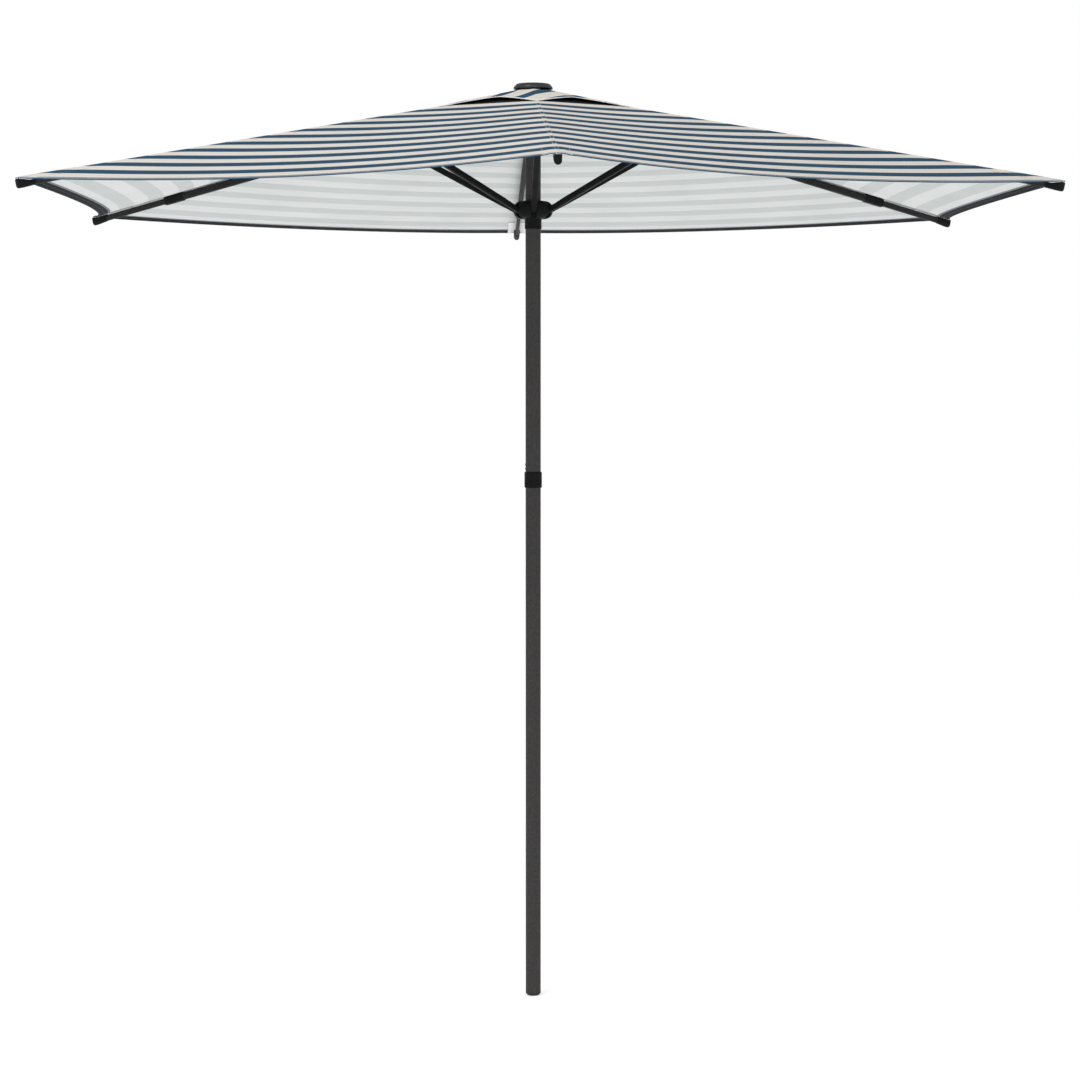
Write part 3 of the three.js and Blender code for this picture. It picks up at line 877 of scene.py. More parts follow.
# ---- Hub, finial and catch ----
@dataclass
class Head:
    """The hub in which the ribs hinge, the finial over it and the bolt between them."""

    finishes: Finishes
    radius: float = 0.052
    skirt: float = 0.024
    pole: float = 0.0194
    bolt: float = 0.0043
    slot_inner: float = 0.029
    slot_width: float = 0.014
    pin_seat: float = 0.0024
    pin_length: float = 0.022
    flange: float = 0.0485
    boss: float = 0.011
    crown: float = 0.042

    def build(self) -> None:
        """Makes the hub and the finial, and finishes the bolt."""
        self.hub()
        self.cover()
        self.finial()
        finish_node("finial_bolt", self.finishes.steel)

    def slotted(self, mesh: bpy.types.Mesh, low: float, high: float) -> bpy.types.Mesh:
        """Cuts a slot for each rib and the seats of its pin.

        Args:
            mesh: the turned body.
            low: the slots' lowest height.
            high: their highest height.

        Returns:
            The cut mesh.
        """
        half, reach = self.slot_width / 2, self.radius + 0.02
        cutters = []
        for rib in range(1, RIB_COUNT + 1):
            turn = plan_turn(rib)
            cutters.append(block((self.slot_inner, -half, low), (reach, half, high), turn))
            cutters.append(pin(self.pin_seat, self.pin_length, RIB_LINE.pivot_radius, RIB_LINE.pivot_height,
                               turn, 16))
        return combined(mesh, cutters, "DIFFERENCE")

    def hub(self) -> None:
        """The hub's lower half, with a skirt round the pole's top."""
        low, high = span("top_hub")
        web, r = high - 0.0098, 0.002
        outline = [(self.bolt, web), (self.pole, web), (self.pole, low), (self.skirt - 0.001, low),
                   (self.skirt, low + 0.001), (self.skirt, high - 0.020),
                   *arc((self.skirt + 0.004, high - 0.020), 0.004, 180, 90, 4),
                   *arc((self.radius - r, high - 0.013 + r), r, -90, 0, 4), (self.radius, high),
                   (self.bolt, high)]
        mesh = self.slotted(turned(outline), low - 0.01, high + 0.01)
        piece = add_piece("hub_base", mesh, [self.finishes.plastic])
        dressed(soften(piece, 0.0005), "upper_pole", Slot.PLASTIC, "top_hub")

    def cover(self) -> None:
        """The hub's upper half, which traps the ribs' pins."""
        low, high = span("hub_cover")
        r = 0.0032
        outline = [(self.bolt, low), (self.radius, low), *arc((self.radius - r, high - r), r, 0, 90),
                   (self.bolt, high)]
        mesh = self.slotted(turned(outline), low - 0.01, high + 0.01)
        piece = add_piece("hub_top", mesh, [self.finishes.plastic])
        dressed(soften(piece, 0.0005), "upper_pole", Slot.PLASTIC, "hub_cover")

    def finial(self) -> None:
        """The round cap on top: a broad flange under a low, softly dished crown."""
        low, high = span("finial_cap")
        rim, r = high - 0.015, 0.0016
        outline = [(0, high - 0.006), (self.bolt, high - 0.006), (self.bolt, low), (self.boss, low),
                   (self.boss, rim), (self.crown * 0.8, rim), (self.flange - 0.0035, rim + 0.0008),
                   *arc((self.flange - r, rim + 0.0016 + r), r, -90, 0, 4), (self.flange, rim + 0.0052),
                   (self.flange - 0.0006, rim + 0.0066), (self.flange - 0.0030, rim + 0.0098),
                   *arc((self.crown - 0.0022, high - 0.0042), 0.0036, 30, 88, 5),
                   (self.crown * 0.84, high - 0.0004), (self.crown * 0.80, high - 0.0011),
                   (self.crown * 0.76, high - 0.0005),
                   (self.crown * 0.4, high - 0.0001), (0, high)]
        piece = add_piece("finial", turned(outline, 128), [self.finishes.gloss])
        dressed(piece, "upper_pole", Slot.PLASTIC, "finial_cap")


@dataclass
class Runner:
    """The sliding ring that carries the struts, and the catch that it rests on."""

    finishes: Finishes
    radius: float = 0.048
    half: float = 0.022
    sleeve: float = 0.021
    bore: float = 0.0194
    slot_inner: float = 0.029
    slot_width: float = 0.014
    catch_width: float = 0.005
    grip_rings: int = 3

    def build(self) -> None:
        """Makes the runner and the catch."""
        self.ring()
        self.catch()

    def outline(self) -> Outline:
        """The runner's outline: a plain sleeve with grip rings under a barrel-shaped ring."""
        low, high = span("runner")
        middle = high - self.half
        points = [(self.bore, low), (self.sleeve - 0.0008, low), (self.sleeve, low + 0.0008)]
        for ring in range(self.grip_rings):
            place = low + 0.006 + ring * 0.005
            points += [(self.sleeve, place), (self.sleeve - 0.0005, place + 0.0008),
                       (self.sleeve, place + 0.0016)]
        points.append((self.sleeve, middle - self.half - 0.001))
        points += [(self.sleeve + 0.001, middle - self.half), (self.radius * 0.6, middle - self.half)]
        inset, flat = 0.019, 0.006
        rounding = [(angle, -flat) for angle in range(-85, 0, 12)]
        rounding += [(angle, flat) for angle in range(1, 90, 12)]
        for angle, shift in rounding:
            a = math.radians(angle)
            points.append((self.radius - inset + inset * math.cos(a),
                           middle + shift + (self.half - flat) * math.sin(a)))
        points += [(self.radius * 0.6, high), (self.bore + 0.0008, high), (self.bore, high - 0.0008)]
        return points

    def ring(self) -> None:
        """The runner itself, with a slot for each strut."""
        high = span("runner")[1]
        half = self.slot_width / 2
        ring_low = high - 2 * self.half - 0.004
        inner, outer = (self.slot_inner, -half, ring_low), (self.radius + 0.02, half, high + 0.01)
        cutters = [block(inner, outer, plan_turn(rib)) for rib in range(1, RIB_COUNT + 1)]
        mesh = combined(turned(self.outline()), cutters, "DIFFERENCE")
        piece = add_piece("runner_ring", mesh, [self.finishes.plastic])
        dressed(soften(piece, 0.0007), "runner", Slot.PLASTIC, "runner")

    def catch(self) -> None:
        """The sprung wedge in the pole's slot."""
        low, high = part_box("runner_catch")
        inner, outer = low.y, high.y
        heel = high.z - 0.0334
        profile = [(inner, high.z), (outer, high.z), (outer, high.z - 0.003), (outer - 0.0065, heel),
                   (inner + 0.0012, low.z), (inner, low.z)]
        half = self.catch_width / 2
        mesh = plate(profile, -half, half, Matrix.Rotation(math.pi / 2, 4, "Z"))
        piece = soften(add_piece("catch_wedge", mesh, [self.finishes.steel]), 0.0004)
        dressed(piece, "catch", Slot.STEEL, "runner_catch")


# ---- Ribs and struts ----
@dataclass
class Rib:
    """One rib: two tubes, the sleeve between them, the tip cap and the strut's bracket."""

    finishes: Finishes
    number: int
    inner_width: float = 0.013
    inner_depth: float = 0.0185
    inner_end: float = 1.062
    outer_width: float = 0.010
    outer_depth: float = 0.015
    outer_start: float = 1.005
    outer_end: float = 1.317
    tongue_width: float = 0.011
    tongue_radius: float = 0.007
    sleeve_start: float = 1.0285
    sleeve_end: float = 1.0885
    sleeve_width: float = 0.0175
    sleeve_depth: float = 0.022
    cap_start: float = 1.287
    cap_end: float = 1.331
    cap_width: float = 0.0165
    cap_top: float = 0.0106
    cap_low: float = 0.011
    bracket_at: float = 0.372
    bracket_drop: float = 0.0205
    bracket_half: float = 0.022
    bracket_width: float = 0.024
    bracket_slot: float = 0.0176

    @property
    def body(self) -> str:
        """The body that the rib is."""
        return f"rib_{self.number}"

    @property
    def turn(self) -> Matrix:
        """Places a piece made along +X onto this rib."""
        return RIB_LINE.turn(self.number)

    def build(self) -> None:
        """Makes every piece of the rib."""
        self.inner_tube()
        self.outer_tube()
        self.sleeve()
        self.tip_cap()
        self.bracket()

    def name(self, what: str) -> str:
        """A node's or a piece's name on this rib."""
        return f"rib_{self.number}_{what}"

    def inner_tube(self) -> None:
        """The thick tube, pressed to a tongue at the hub, with its hinge pin."""
        r, half = self.tongue_radius, self.inner_depth / 2
        tongue = rounded_end(0.0, -1, r, self.tongue_width, 0.0015, 6)
        full = rounded_section(self.inner_width, self.inner_depth, 0.003)
        pressed = rounded_section(self.tongue_width, 2 * r, 0.0015)
        shoulder = rounded_section(self.inner_width - 0.0006, 2 * half - 0.0012, 0.0028)
        stations = [*tongue, (0.0, pressed), (0.0135, pressed), (0.0145, shoulder), (0.0155, full),
                    (self.inner_end, full)]
        mesh = combined(lofted(stations), [pin(0.002, 0.021, 0, 0)], "UNION")
        mesh.transform(self.turn)
        piece = add_piece(self.name("thick_tube"), mesh, [self.finishes.frame])
        dressed(piece, self.body, Slot.FRAME, self.name("inner_tube"))

    def outer_tube(self) -> None:
        """The thin tube that reaches the tip."""
        section = rounded_section(self.outer_width, self.outer_depth, 0.0028)
        mesh = lofted([(self.outer_start, section), (self.outer_end, section)], self.turn)
        piece = add_piece(self.name("thin_tube"), mesh, [self.finishes.frame])
        dressed(piece, self.body, Slot.FRAME, self.name("outer_tube"))

    def sleeve(self) -> None:
        """The plastic sleeve over the step from one tube to the other."""
        big = partial(rounded_section, self.sleeve_width, self.sleeve_depth, 0.0045)
        start, end, step = self.sleeve_start, self.sleeve_end, 0.0012
        small = rounded_section(self.sleeve_width - 0.0022, self.sleeve_depth - 0.0022, 0.0036)
        groove = rounded_section(self.sleeve_width - 0.0010, self.sleeve_depth - 0.0010, 0.0041)
        middle = (start + end) / 2
        stations = [(start, small), (start + step, big()), (middle - 0.0012, big()),
                    (middle - 0.0006, groove),
                    (middle + 0.0006, groove), (middle + 0.0012, big()), (end - step, big()), (end, small)]
        piece = add_piece(self.name("sleeve"), lofted(stations, self.turn), [self.finishes.plastic])
        dressed(piece, self.body, Slot.PLASTIC, self.name("joint_sleeve"))

    def cap_section(self, shrink: float, low: float) -> Outline:
        """The tip cap's section: flat on top, half round below.

        Args:
            shrink: how far the section is drawn in all round.
            low: how far its lowest point is below the rib's line.

        Returns:
            The section's points.
        """
        half, top, bottom = self.cap_width / 2 - shrink, self.cap_top - shrink, low - shrink
        edge = 0.0016
        lower = [(half * math.cos(a), -bottom + half + half * math.sin(a))
                 for a in (math.radians(180 + 15 * i) for i in range(13))]
        return [*lower, *arc((half - edge, top - edge), edge, 0, 90, 3),
                *arc((-half + edge, top - edge), edge, 90, 180, 3)]

    def tip_cap(self) -> None:
        """The plastic cap that holds the canopy's corner."""
        low, inboard = self.cap_low, 0.0088
        end, start = self.cap_end, self.cap_start
        heel = end - 0.014
        rows = [(start, 0.0012, inboard), (start + 0.0012, 0.0, inboard),
                (start + 0.006, 0.0, inboard + 0.0004),
                (start + 0.0066, 0.0007, inboard + 0.0004), (start + 0.0078, 0.0007, inboard + 0.0005),
                (start + 0.0084, 0.0, inboard + 0.0005), (heel, 0.0, low), (end - 0.0035, 0.0, low),
                (end - 0.0016, 0.0006, low), (end - 0.0005, 0.0015, low), (end, 0.0030, low)]
        stations = [(x, self.cap_section(shrink, bottom)) for x, shrink, bottom in rows]
        piece = add_piece(self.name("cap"), lofted(stations, self.turn), [self.finishes.plastic])
        dressed(piece, self.body, Slot.PLASTIC, self.name("tip_cap"))

    def bracket(self) -> None:
        """The clamp round the rib, with two ears and the strut's pin."""
        at, drop, half, ear = self.bracket_at, self.bracket_drop, self.bracket_half, 0.0085
        top, floor, width = 0.0106, 0.0109, self.bracket_width
        outline = [(at - half, top), (at - half, -floor), (at - half + 0.005, -floor - 0.001),
                   *arc((at, -drop), ear, 194, 346, 12), (at + half - 0.005, -floor - 0.001),
                   (at + half, -floor), (at + half, top)]
        body = plate(outline, -width / 2, width / 2)
        gap = self.bracket_slot / 2
        fork = block((at - half - 0.01, -gap, -0.05), (at + half + 0.01, gap, -floor))
        hollow = rounded_section(self.inner_width + 0.0004, self.inner_depth + 0.0004, 0.003)
        bore = lofted([(at - half - 0.005, hollow), (at + half + 0.005, hollow)])
        cut = combined(body, [fork, bore], "DIFFERENCE")
        mesh = combined(cut, [pin(0.0025, width - 0.0006, at, -drop)], "UNION")
        mesh.transform(self.turn)
        piece = soften(add_piece(self.name("bracket"), mesh, [self.finishes.plastic]), 0.0006)
        dressed(piece, self.body, Slot.PLASTIC, self.name("strut_bracket"))


@dataclass
class Strut:
    """One strut: a tube with flattened round ends, from the rib's bracket to the runner."""

    finishes: Finishes
    number: int
    width: float = 0.016
    depth: float = 0.014
    end_width: float = 0.012
    pin_length: float = 0.0134
    runner_pivot_radius: float = 0.042

    def build(self) -> None:
        """Makes the strut."""
        hinge = Vector(joint(f"strut_{self.number}_hinge")["pos_m"])
        radius = math.hypot(hinge.x, hinge.y)
        pivot_height = span("runner")[1] - 0.0245
        run, rise = radius - self.runner_pivot_radius, hinge.z - pivot_height
        length, elevation = math.hypot(run, rise), math.atan2(rise, run)
        r = self.depth / 2 - 0.0004
        wide, narrow = self.width - 0.0008, self.end_width
        body = rounded_section(self.width, self.depth, 0.003)
        stations = [*rounded_end(0.0, -1, r, wide, 0.0022, 7),
                    (0.010, rounded_section(wide, 2 * r, 0.0022)), (0.013, body),
                    (length - 0.050, body), (length - 0.030, rounded_section(narrow, 2 * r, 0.0022)),
                    *reversed(rounded_end(length, 1, r, narrow, 0.0022, 7))]
        mesh = combined(lofted(stations), [pin(0.0025, self.pin_length, length, 0)], "UNION")
        place = Matrix.Translation((radius, 0, hinge.z)) @ Matrix.Rotation(math.pi - elevation, 4, "Y")
        mesh.transform(plan_turn(self.number) @ place)
        piece = add_piece(f"strut_{self.number}_tube", mesh, [self.finishes.frame])
        dressed(piece, f"strut_{self.number}", Slot.FRAME, f"strut_{self.number}")


# ---- Cloth ----
@dataclass(frozen=True)
class GoreShape:
    """The shape of the cloth between two ribs, seen from one of them.

    A place is a radius, taken along the ribs, and a distance from the rib along the hem's line.
    The middle of the gore pulls in by inward and hangs down by drop, both at the outer edge, and
    by sag halfway down.
    """

    inner: float
    outer: float
    inward: float
    drop: float
    sag: float
    power: float
    height: Callable[[float], float]
    pucker: float = 0.0
    bend: float = 2.0

    def point(self, radius: float, off: float, side: Side, rise: float = 0.0) -> Vector:
        """A point of the cloth in the rib's own plan frame.

        Args:
            radius: the distance from the pole's axis, taken along the rib.
            off: the distance from the rib, along the hem's line.
            side: which of the rib's half gores it is.
            rise: how far the point stands above the cloth's underside.

        Returns:
            The point, with x along the rib in plan.
        """
        half = radius * math.sin(HALF_GORE)
        share = 1 - off / half
        bow = 1 - max(share, 0.0) ** self.bend
        down = min(max((radius - self.inner) / (self.outer - self.inner), 0.0), 1.0)
        pull = down ** self.power
        hang = self.drop * pull + self.sag * (4 * down * (1 - down)) ** 0.6
        out = radius * math.cos(HALF_GORE) - self.inward * pull * bow
        along = max(half - off, 0.0)
        x = out * math.cos(HALF_GORE) + along * math.sin(HALF_GORE)
        y = side.value * (out * math.sin(HALF_GORE) - along * math.cos(HALF_GORE))
        envelope = math.sin(math.pi * min(off / 0.05, 1)) * share
        wave = self.pucker * pull ** 6 * envelope * math.sin(off / 0.0083)
        return Vector((x, y, self.height(radius) - hang * bow + rise + wave))


def spaced(start: float, end: float, count: int) -> list[float]:
    """Evenly spaced values with both ends."""
    return [start + (end - start) * i / count for i in range(count + 1)]


@dataclass
class Sheet:
    """Builds one closed shell of cloth over part of a half gore."""

    shape: GoreShape
    side: Side
    rows: list[float]
    fixed: list[float]
    columns: int
    low: Callable[[float, float], float]
    high: Callable[[float, float], float]
    reach: float | None = None
    back_of: Callable[[float, float], int] = lambda hem, off: 1
    top_of: Callable[[float, float], int] = lambda hem, off: 0
    plan_stripes: float | None = None

    def offsets(self, radius: float) -> list[float]:
        """The distances of the columns from the rib: first the fixed ones, then even ones."""
        end = radius * math.sin(HALF_GORE) if self.reach is None else self.reach
        last = self.fixed[-1]
        return [*self.fixed, *spaced(last, end, self.columns)[1:]]

    def uv(self, point: Vector, radius: float, off: float, turn: Matrix) -> tuple[float, float]:
        """The place in the cloth's own weave: across the stripes first."""
        if self.plan_stripes is None:
            eased = radius - 0.018 * math.exp(-off / 0.026)
            return eased, self.side.value * (radius * math.sin(HALF_GORE) - off)
        place = turn @ point
        c, s = math.cos(self.plan_stripes), math.sin(self.plan_stripes)
        return place.x * c + place.y * s, place.y * c - place.x * s

    def build(self, name: str, rib: int,
              materials: Sequence[bpy.types.Material]) -> tuple[bpy.types.Object, float]:
        """Makes the sheet.

        Args:
            name: the piece's name.
            rib: the rib that it lies beside.
            materials: the finishes of its upper face, its underside and its hem.

        Returns:
            The piece and the area of its upper face.
        """
        turn = plan_turn(rib)
        across = len(self.fixed) + self.columns
        places = [(radius, off) for radius in self.rows for off in self.offsets(radius)]
        edge = self.shape.outer
        tops = [self.shape.point(r, o, self.side, self.high(edge - r, o)) for r, o in places]
        backs = [self.shape.point(r, o, self.side, self.low(edge - r, o)) for r, o in places]
        count, faces, kinds = len(places), [], []
        last_row = len(self.rows) - 1

        def add(corners: tuple[int, ...], kind: int) -> None:
            """Adds a face, wound to match the side."""
            faces.append(corners if self.side is Side.RIGHT else tuple(reversed(corners)))
            kinds.append(kind)

        area = 0.0
        for row in range(last_row):
            for column in range(across - 1):
                a = row * across + column
                b, c, d = a + across, a + across + 1, a + 1
                radius, off = places[a]
                area += ((tops[c] - tops[a]).cross(tops[d] - tops[b])).length / 2
                add((a, b, c, d), self.top_of(edge - radius, off))
                add((d + count, c + count, b + count, a + count), self.back_of(edge - places[b][0], off))
        top_rim, hem_rim = self.top_of(0, 0), self.back_of(0, 0)
        for column in range(across - 1):
            a, b = column, last_row * across + column
            add((a, a + 1, a + 1 + count, a + count), top_rim)
            add((b + 1, b, b + count, b + 1 + count), top_rim if self.reach is None else hem_rim)
        for row in range(last_row):
            a, b = row * across, row * across + across - 1
            add((a + across, a, a + count, a + across + count), top_rim)
            add((b, b + across, b + across + count, b + count), top_rim)
        mesh = bpy.data.meshes.new(name)
        mesh.from_pydata([tuple(turn @ p) for p in tops + backs], [], faces)
        mesh.polygons.foreach_set("material_index", kinds)
        cloth, edges = mesh.uv_layers.new(name=CLOTH_UV), mesh.uv_layers.new(name=EDGE_UV)
        for loop in mesh.loops:
            radius, off = places[loop.vertex_index % count]
            cloth.data[loop.index].uv = self.uv(tops[loop.vertex_index % count], radius, off, turn)
            edges.data[loop.index].uv = (off, edge - radius)
        mesh.validate()
        return add_piece(name, mesh, materials), area


@dataclass
class Canopy:
    """The six gores, each sewn to two ribs, with folded hems and reinforced corners."""

    finishes: Finishes
    opening: float = 0.262
    corner: float = 1.350
    inward: float = 0.075
    drop: float = 0.0165
    sag: float = 0.0055
    thick: float = 0.0009
    lift: float = 0.0129
    hem: float = 0.042
    hem_edge: float = 0.008
    hem_fold: float = 0.0010
    seam: float = 0.006
    seam_fold: float = 0.0005
    patch_length: float = 0.140
    patch_width: float = 0.0400
    pocket_length: float = 0.120
    pocket_width: float = 0.0360
    fold: Fold = Fold(keep=0.134, outward=math.radians(10))

    @property
    def over(self) -> float:
        """How far the cloth's underside is above the rib's line."""
        return self.lift / math.cos(RIB_LINE.slope)

    @property
    def shape(self) -> GoreShape:
        """The shape of each gore."""
        return GoreShape(self.opening, self.corner, self.inward, self.drop, self.sag, 2.0,
                         lambda radius: RIB_LINE.height(radius) + self.over, pucker=0.0011)

    def build(self) -> None:
        """Makes both halves of the cloth at every rib, with their patches and pockets."""
        for rib in range(1, RIB_COUNT + 1):
            for side in Side:
                self.half_gore(rib, side)

    def back_finish(self, hem: float, off: float) -> int:
        """Which finish the cloth's underside has at a distance from the hem and from the rib."""
        if hem > self.hem - 0.001:
            return 1
        return 3 if hem > self.hem - self.hem_edge - 0.001 else 2

    def half_gore(self, rib: int, side: Side) -> None:
        """One half gore with its corner patch outside and its pocket inside."""
        where = f"{rib}_{side.name.lower()}"
        hem_rows = [self.corner - d for d in (self.hem + 0.0004, self.hem, self.hem - self.hem_edge,
                                             0.022, 0.015, 0.010, 0.005, 0.0015, 0.0)]
        body_rows = spaced(self.opening, self.corner - self.hem - 0.008, 56)
        main = Sheet(self.shape, side, body_rows + hem_rows, [0.0, 0.003, self.seam, self.seam + 0.0006], 30,
                     low=lambda hem, off: -self.hem_fold * (hem < self.hem + 1e-5),
                     high=lambda hem, off: self.thick + self.seam_fold * (off < self.seam + 1e-5)
                     + 0.0004 * (0.0015 < hem < self.hem + 1e-5),
                     back_of=self.back_finish)
        f = self.finishes
        cloth, area = main.build(f"canopy_{where}", rib, [f.canopy, f.canopy_back, f.shaded_hem_back, f.hem_edge])
        patch = self.patch(rib, side, where)
        pocket = self.pocket(rib, side, where)
        for piece in (cloth, patch, pocket):
            dressed(piece, f"rib_{rib}", Slot.CLOTH, f"canopy_{rib}")
            self.fold.apply(piece, rib, side, self.over)

    def patch(self, rib: int, side: Side, where: str) -> bpy.types.Object:
        """The striped reinforcement on the outside of a corner, with a white folded edge."""
        edge = self.patch_width - 0.0014
        start, top = self.corner - self.patch_length, self.thick + self.seam_fold + 0.0001
        sheet = Sheet(self.shape, side, spaced(start, self.corner - 0.002, 20) + [self.corner + 0.0012],
                      [0.0, 0.003, self.seam, self.seam + 0.0006, 0.018, 0.030, edge, edge + 0.0003], 2,
                      low=lambda hem, off: top, high=lambda hem, off: top + 0.0006, reach=self.patch_width)
        piece, _ = sheet.build(f"corner_patch_{where}", rib, [self.finishes.patch, self.finishes.lining])
        return piece

    def pocket(self, rib: int, side: Side, where: str) -> bpy.types.Object:
        """The white pocket cloth on the inside of a corner, over the tip cap."""
        start, under = self.corner - self.pocket_length, -self.hem_fold - 0.0001
        sheet = Sheet(self.shape, side, spaced(start, self.corner + 0.001, 16),
                      [0.0, 0.008, 0.016], 3, low=lambda hem, off: under - 0.0006,
                      high=lambda hem, off: under, reach=self.pocket_width, back_of=lambda hem, off: 0)
        piece, _ = sheet.build(f"corner_pocket_{where}", rib, [self.finishes.lining])
        return piece


@dataclass
class Vent:
    """The cap of striped cloth over the vent, and the net under it."""

    finishes: Finishes
    corner: float = 0.270
    scallop: float = 0.050
    rise: float = 0.0210
    hole: float = 0.014
    thick: float = 0.0009
    flat: float = 0.045
    slope: float = 0.2316
    net_thick: float = 0.0007
    net_corner: float = 0.256
    binding: float = 0.012
    net_lift: float = 0.0129
    crown_end: float = 0.045
    shoulder_end: float = 0.080
    stripe_direction: float = math.radians(-25.0)
    fold: Fold = Fold(keep=0.48, outward=math.radians(12))
    net_fold: Fold = Fold(keep=0.134, outward=math.radians(10))
    shoulder_bend: tuple[float, float] = (0.0455, 0.0605)

    @property
    def top(self) -> float:
        """The height of the cap's underside at the pole."""
        return span("vent_cap")[1] - 0.0012

    @property
    def cap_shape(self) -> GoreShape:
        """The cap's shape."""
        return GoreShape(self.hole, self.corner, self.scallop, -self.rise, 0.0, 2.2,
                         lambda radius: self.top - self.slope * max(radius - self.flat, 0.0), bend=1.25)

    @property
    def net_shape(self) -> GoreShape:
        """The net's shape."""
        over, ceiling = self.net_lift / math.cos(RIB_LINE.slope), span("vent_net")[1] - 0.0012
        return GoreShape(self.hole, self.net_corner, 0.0, 0.0, 0.0, 1.5,
                         lambda radius: min(RIB_LINE.height(radius) + over, ceiling))

    def build(self) -> None:
        """Makes the cap and the net at every rib."""
        for rib in range(1, RIB_COUNT + 1):
            for side in Side:
                self.cap(rib, side)
                self.net(rib, side)

    def section(self, shape: GoreShape, side: Side, rows: list[float], thick: float, hem: bool) -> Sheet:
        """A sheet of the cap or the net over the given rows."""
        return Sheet(shape, side, rows, [0.0, 0.002], 14,
                     low=lambda d, off: -0.0006 * (hem and d < 0.012),
                     high=lambda d, off: thick,
                     top_of=lambda d, off: 2 if hem and d < self.binding + 1e-5 else 0,
                     plan_stripes=self.stripe_direction)

    def cap(self, rib: int, side: Side) -> None:
        """The cap beside one rib: a still crown, a shoulder and a skirt that rides on the rib."""
        where, f = f"{rib}_{side.name.lower()}", self.finishes
        materials = [f.vent, f.vent_back, f.lining]
        crown_rows = spaced(self.hole, self.crown_end, 6)
        crown_sheet = self.section(self.cap_shape, side, crown_rows, self.thick, False)
        crown, area = crown_sheet.build(f"vent_crown_{where}", rib, materials)
        dressed(crown, "upper_pole", Slot.CLOTH, "vent_cap")
        shoulder_rows = spaced(self.crown_end, self.shoulder_end, 10)
        shoulder_sheet = self.section(self.cap_shape, side, shoulder_rows, self.thick, False)
        shoulder, area = shoulder_sheet.build(f"vent_shoulder_{where}", rib, materials)
        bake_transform(shoulder)
        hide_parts("vent_cap")
        skirt_rows = spaced(self.shoulder_end, self.corner - 0.0125, 26)
        skirt_rows += [self.corner - d for d in (0.012, 0.0116, 0.006, 0.001, 0.0)]
        skirt_sheet = self.section(self.cap_shape, side, skirt_rows, self.thick, True)
        skirt, area = skirt_sheet.build(f"vent_skirt_{where}", rib, materials)
        dressed(skirt, f"rib_{rib}", Slot.CLOTH, "vent_cap")
        self.fold.apply(skirt, rib, side, self.top - RIB_LINE.pivot_height)

    def net(self, rib: int, side: Side) -> None:
        """The net beside one rib: a still middle and a part that folds with the rib."""
        where, shape = f"{rib}_{side.name.lower()}", self.net_shape
        nets = [self.finishes.net] * 2
        middle_sheet = self.section(shape, side, spaced(self.hole, self.crown_end, 4), self.net_thick, False)
        middle, area = middle_sheet.build(f"net_middle_{where}", rib, nets)
        dressed(middle, "upper_pole", Slot.NET, "vent_net")
        outer_rows = spaced(self.crown_end, self.net_corner, 12)
        outer_sheet = self.section(shape, side, outer_rows, self.net_thick, False)
        outer, area = outer_sheet.build(f"net_skirt_{where}", rib, nets)
        dressed(outer, f"rib_{rib}", Slot.NET, "vent_net")
        self.net_fold.apply(outer, rib, side, self.net_lift)


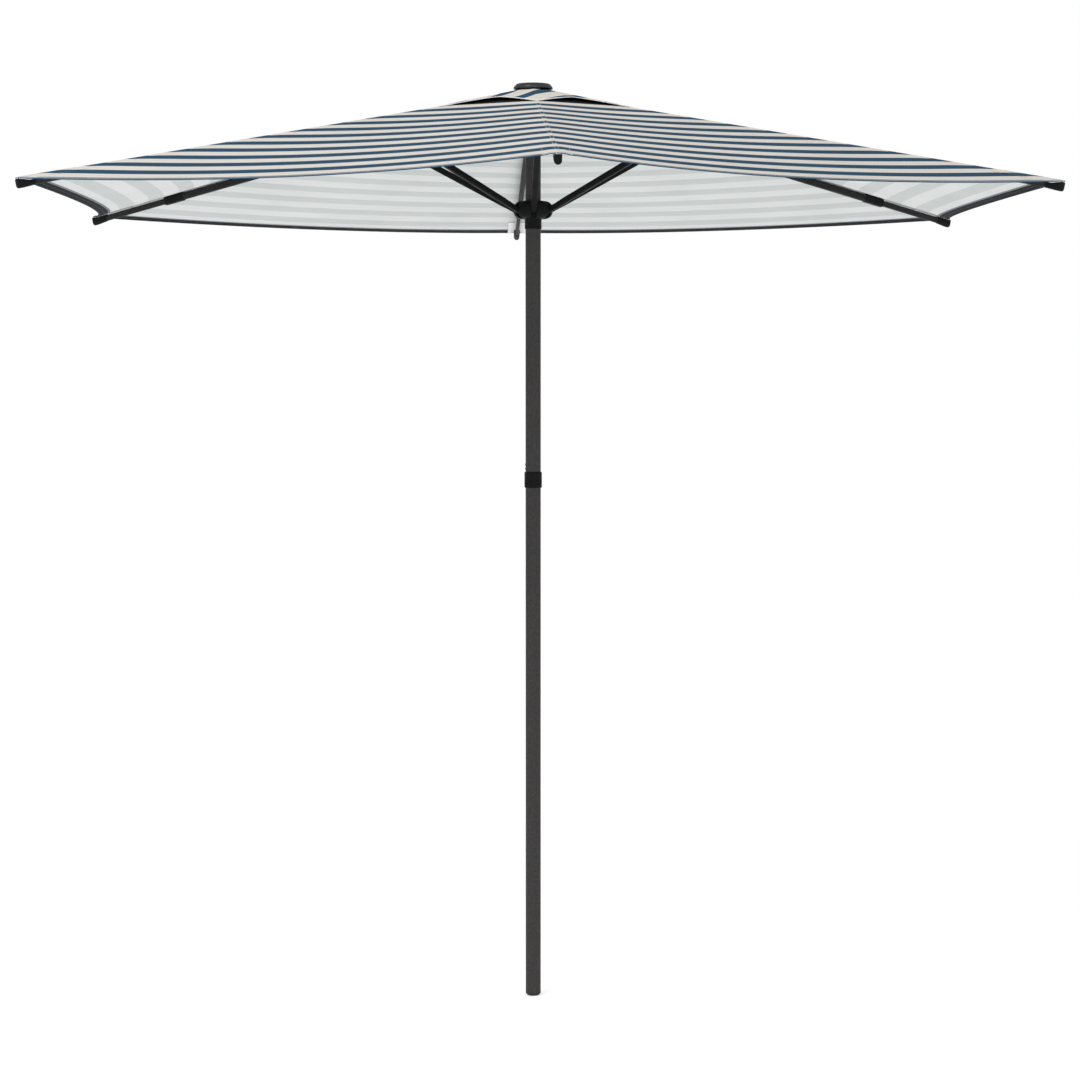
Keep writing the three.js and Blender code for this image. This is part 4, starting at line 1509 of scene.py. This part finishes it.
# ---- Studio ----
@dataclass
class Studio:
    """A pale floor, soft light all round and the camera."""

    camera_place: tuple[float, float, float] = (-0.2446, -6.6685, 1.5219)
    camera_angles: tuple[float, float, float] = (86.781, 0.0, -2.2466)
    lens: float = 89.32
    floor_radius: float = 45.0
    sky: tuple[float, float] = (0.95, 0.30)

    def build(self) -> None:
        """Makes the whole studio."""
        self.floor()
        self.light_room()
        self.place_camera()

    def floor(self) -> None:
        """A wide disc of studio paper under the foot."""
        sides = 96
        angles = [2 * math.pi * i / sides for i in range(sides)]
        points = [(self.floor_radius * math.cos(a), self.floor_radius * math.sin(a), 0.0) for a in angles]
        mesh = bpy.data.meshes.new("floor")
        mesh.from_pydata(points, [], [tuple(range(sides))])
        mesh.materials.append(StudioPaper().build())
        floor = bpy.data.objects.new("floor", mesh)
        floor.location.z = -0.0005
        bpy.context.scene.collection.objects.link(floor)

    def soft_box(self, name: str, place: Sequence[float], size: float, watts: float,
                 target: Sequence[float]) -> None:
        """A square soft light that looks at a target.

        Args:
            name: the light's name.
            place: where it hangs.
            size: its side.
            watts: its power.
            target: what it looks at.
        """
        data = bpy.data.lights.new(name, "AREA")
        data.shape, data.size, data.energy = "SQUARE", size, watts
        light = bpy.data.objects.new(name, data)
        light.location = place
        light.rotation_euler = (Vector(target) - Vector(place)).to_track_quat("-Z", "Y").to_euler()
        bpy.context.scene.collection.objects.link(light)

    def light_room(self) -> None:
        """An even pale sky, with a broad key above and a fill from the right."""
        world = bpy.data.worlds.new("studio")
        bpy.context.scene.world = world
        world.use_nodes = True
        nodes, links = world.node_tree.nodes, world.node_tree.links
        background = next(n for n in nodes if n.type == "BACKGROUND")
        seen = nodes.new("ShaderNodeLightPath").outputs["Is Camera Ray"]
        direction = nodes.new("ShaderNodeSeparateXYZ")
        links.new(nodes.new("ShaderNodeTexCoord").outputs["Generated"], direction.inputs[0])
        lit = nodes.new("ShaderNodeMapRange")
        links.new(direction.outputs[1], lit.inputs[0])
        for number, value in enumerate((-1.0, 1.0, *self.sky), start=1):
            lit.inputs[number].default_value = value
        level = nodes.new("ShaderNodeMapRange")
        links.new(seen, level.inputs[0])
        links.new(lit.outputs[0], level.inputs[3])
        level.inputs[4].default_value = 1.0
        links.new(level.outputs[0], background.inputs["Strength"])
        background.inputs["Color"].default_value = (1.0, 1.0, 1.0, 1.0)
        self.soft_box("key", (-2.6, -3.4, 6.0), 3.2, 110.0, (0.0, 0.0, 1.9))
        self.soft_box("fill", (1.6, -7.5, 2.2), 1.6, 30.0, (0.0, 0.0, 1.2))

    def place_camera(self) -> None:
        """The camera: a long lens at standing height, a little under the canopy's edge."""
        data = bpy.data.cameras.new("camera")
        data.lens, data.sensor_width, data.sensor_fit = self.lens, 36.0, "HORIZONTAL"
        data.clip_start, data.clip_end = 0.05, 200.0
        camera = bpy.data.objects.new("camera", data)
        camera.location = self.camera_place
        camera.rotation_euler = tuple(math.radians(a) for a in self.camera_angles)
        bpy.context.scene.collection.objects.link(camera)
        bpy.context.scene.camera = camera
        bpy.context.scene.view_settings.view_transform = "Standard"


def write_sizes() -> None:
    """Brings the view layer up to date."""
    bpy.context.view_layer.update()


def main() -> None:
    """Builds the studio and then the umbrella, from the pole outward."""
    logging.basicConfig(level=logging.INFO, format="%(name)s: %(message)s")
    Studio().build()
    finishes = Finishes()
    Pole(finishes).build()
    Head(finishes).build()
    Runner(finishes).build()
    for number in range(1, RIB_COUNT + 1):
        Rib(finishes, number).build()
        Strut(finishes, number).build()
    Canopy(finishes).build()
    Vent(finishes).build()
    write_sizes()


if __name__ == "__main__":
    main()
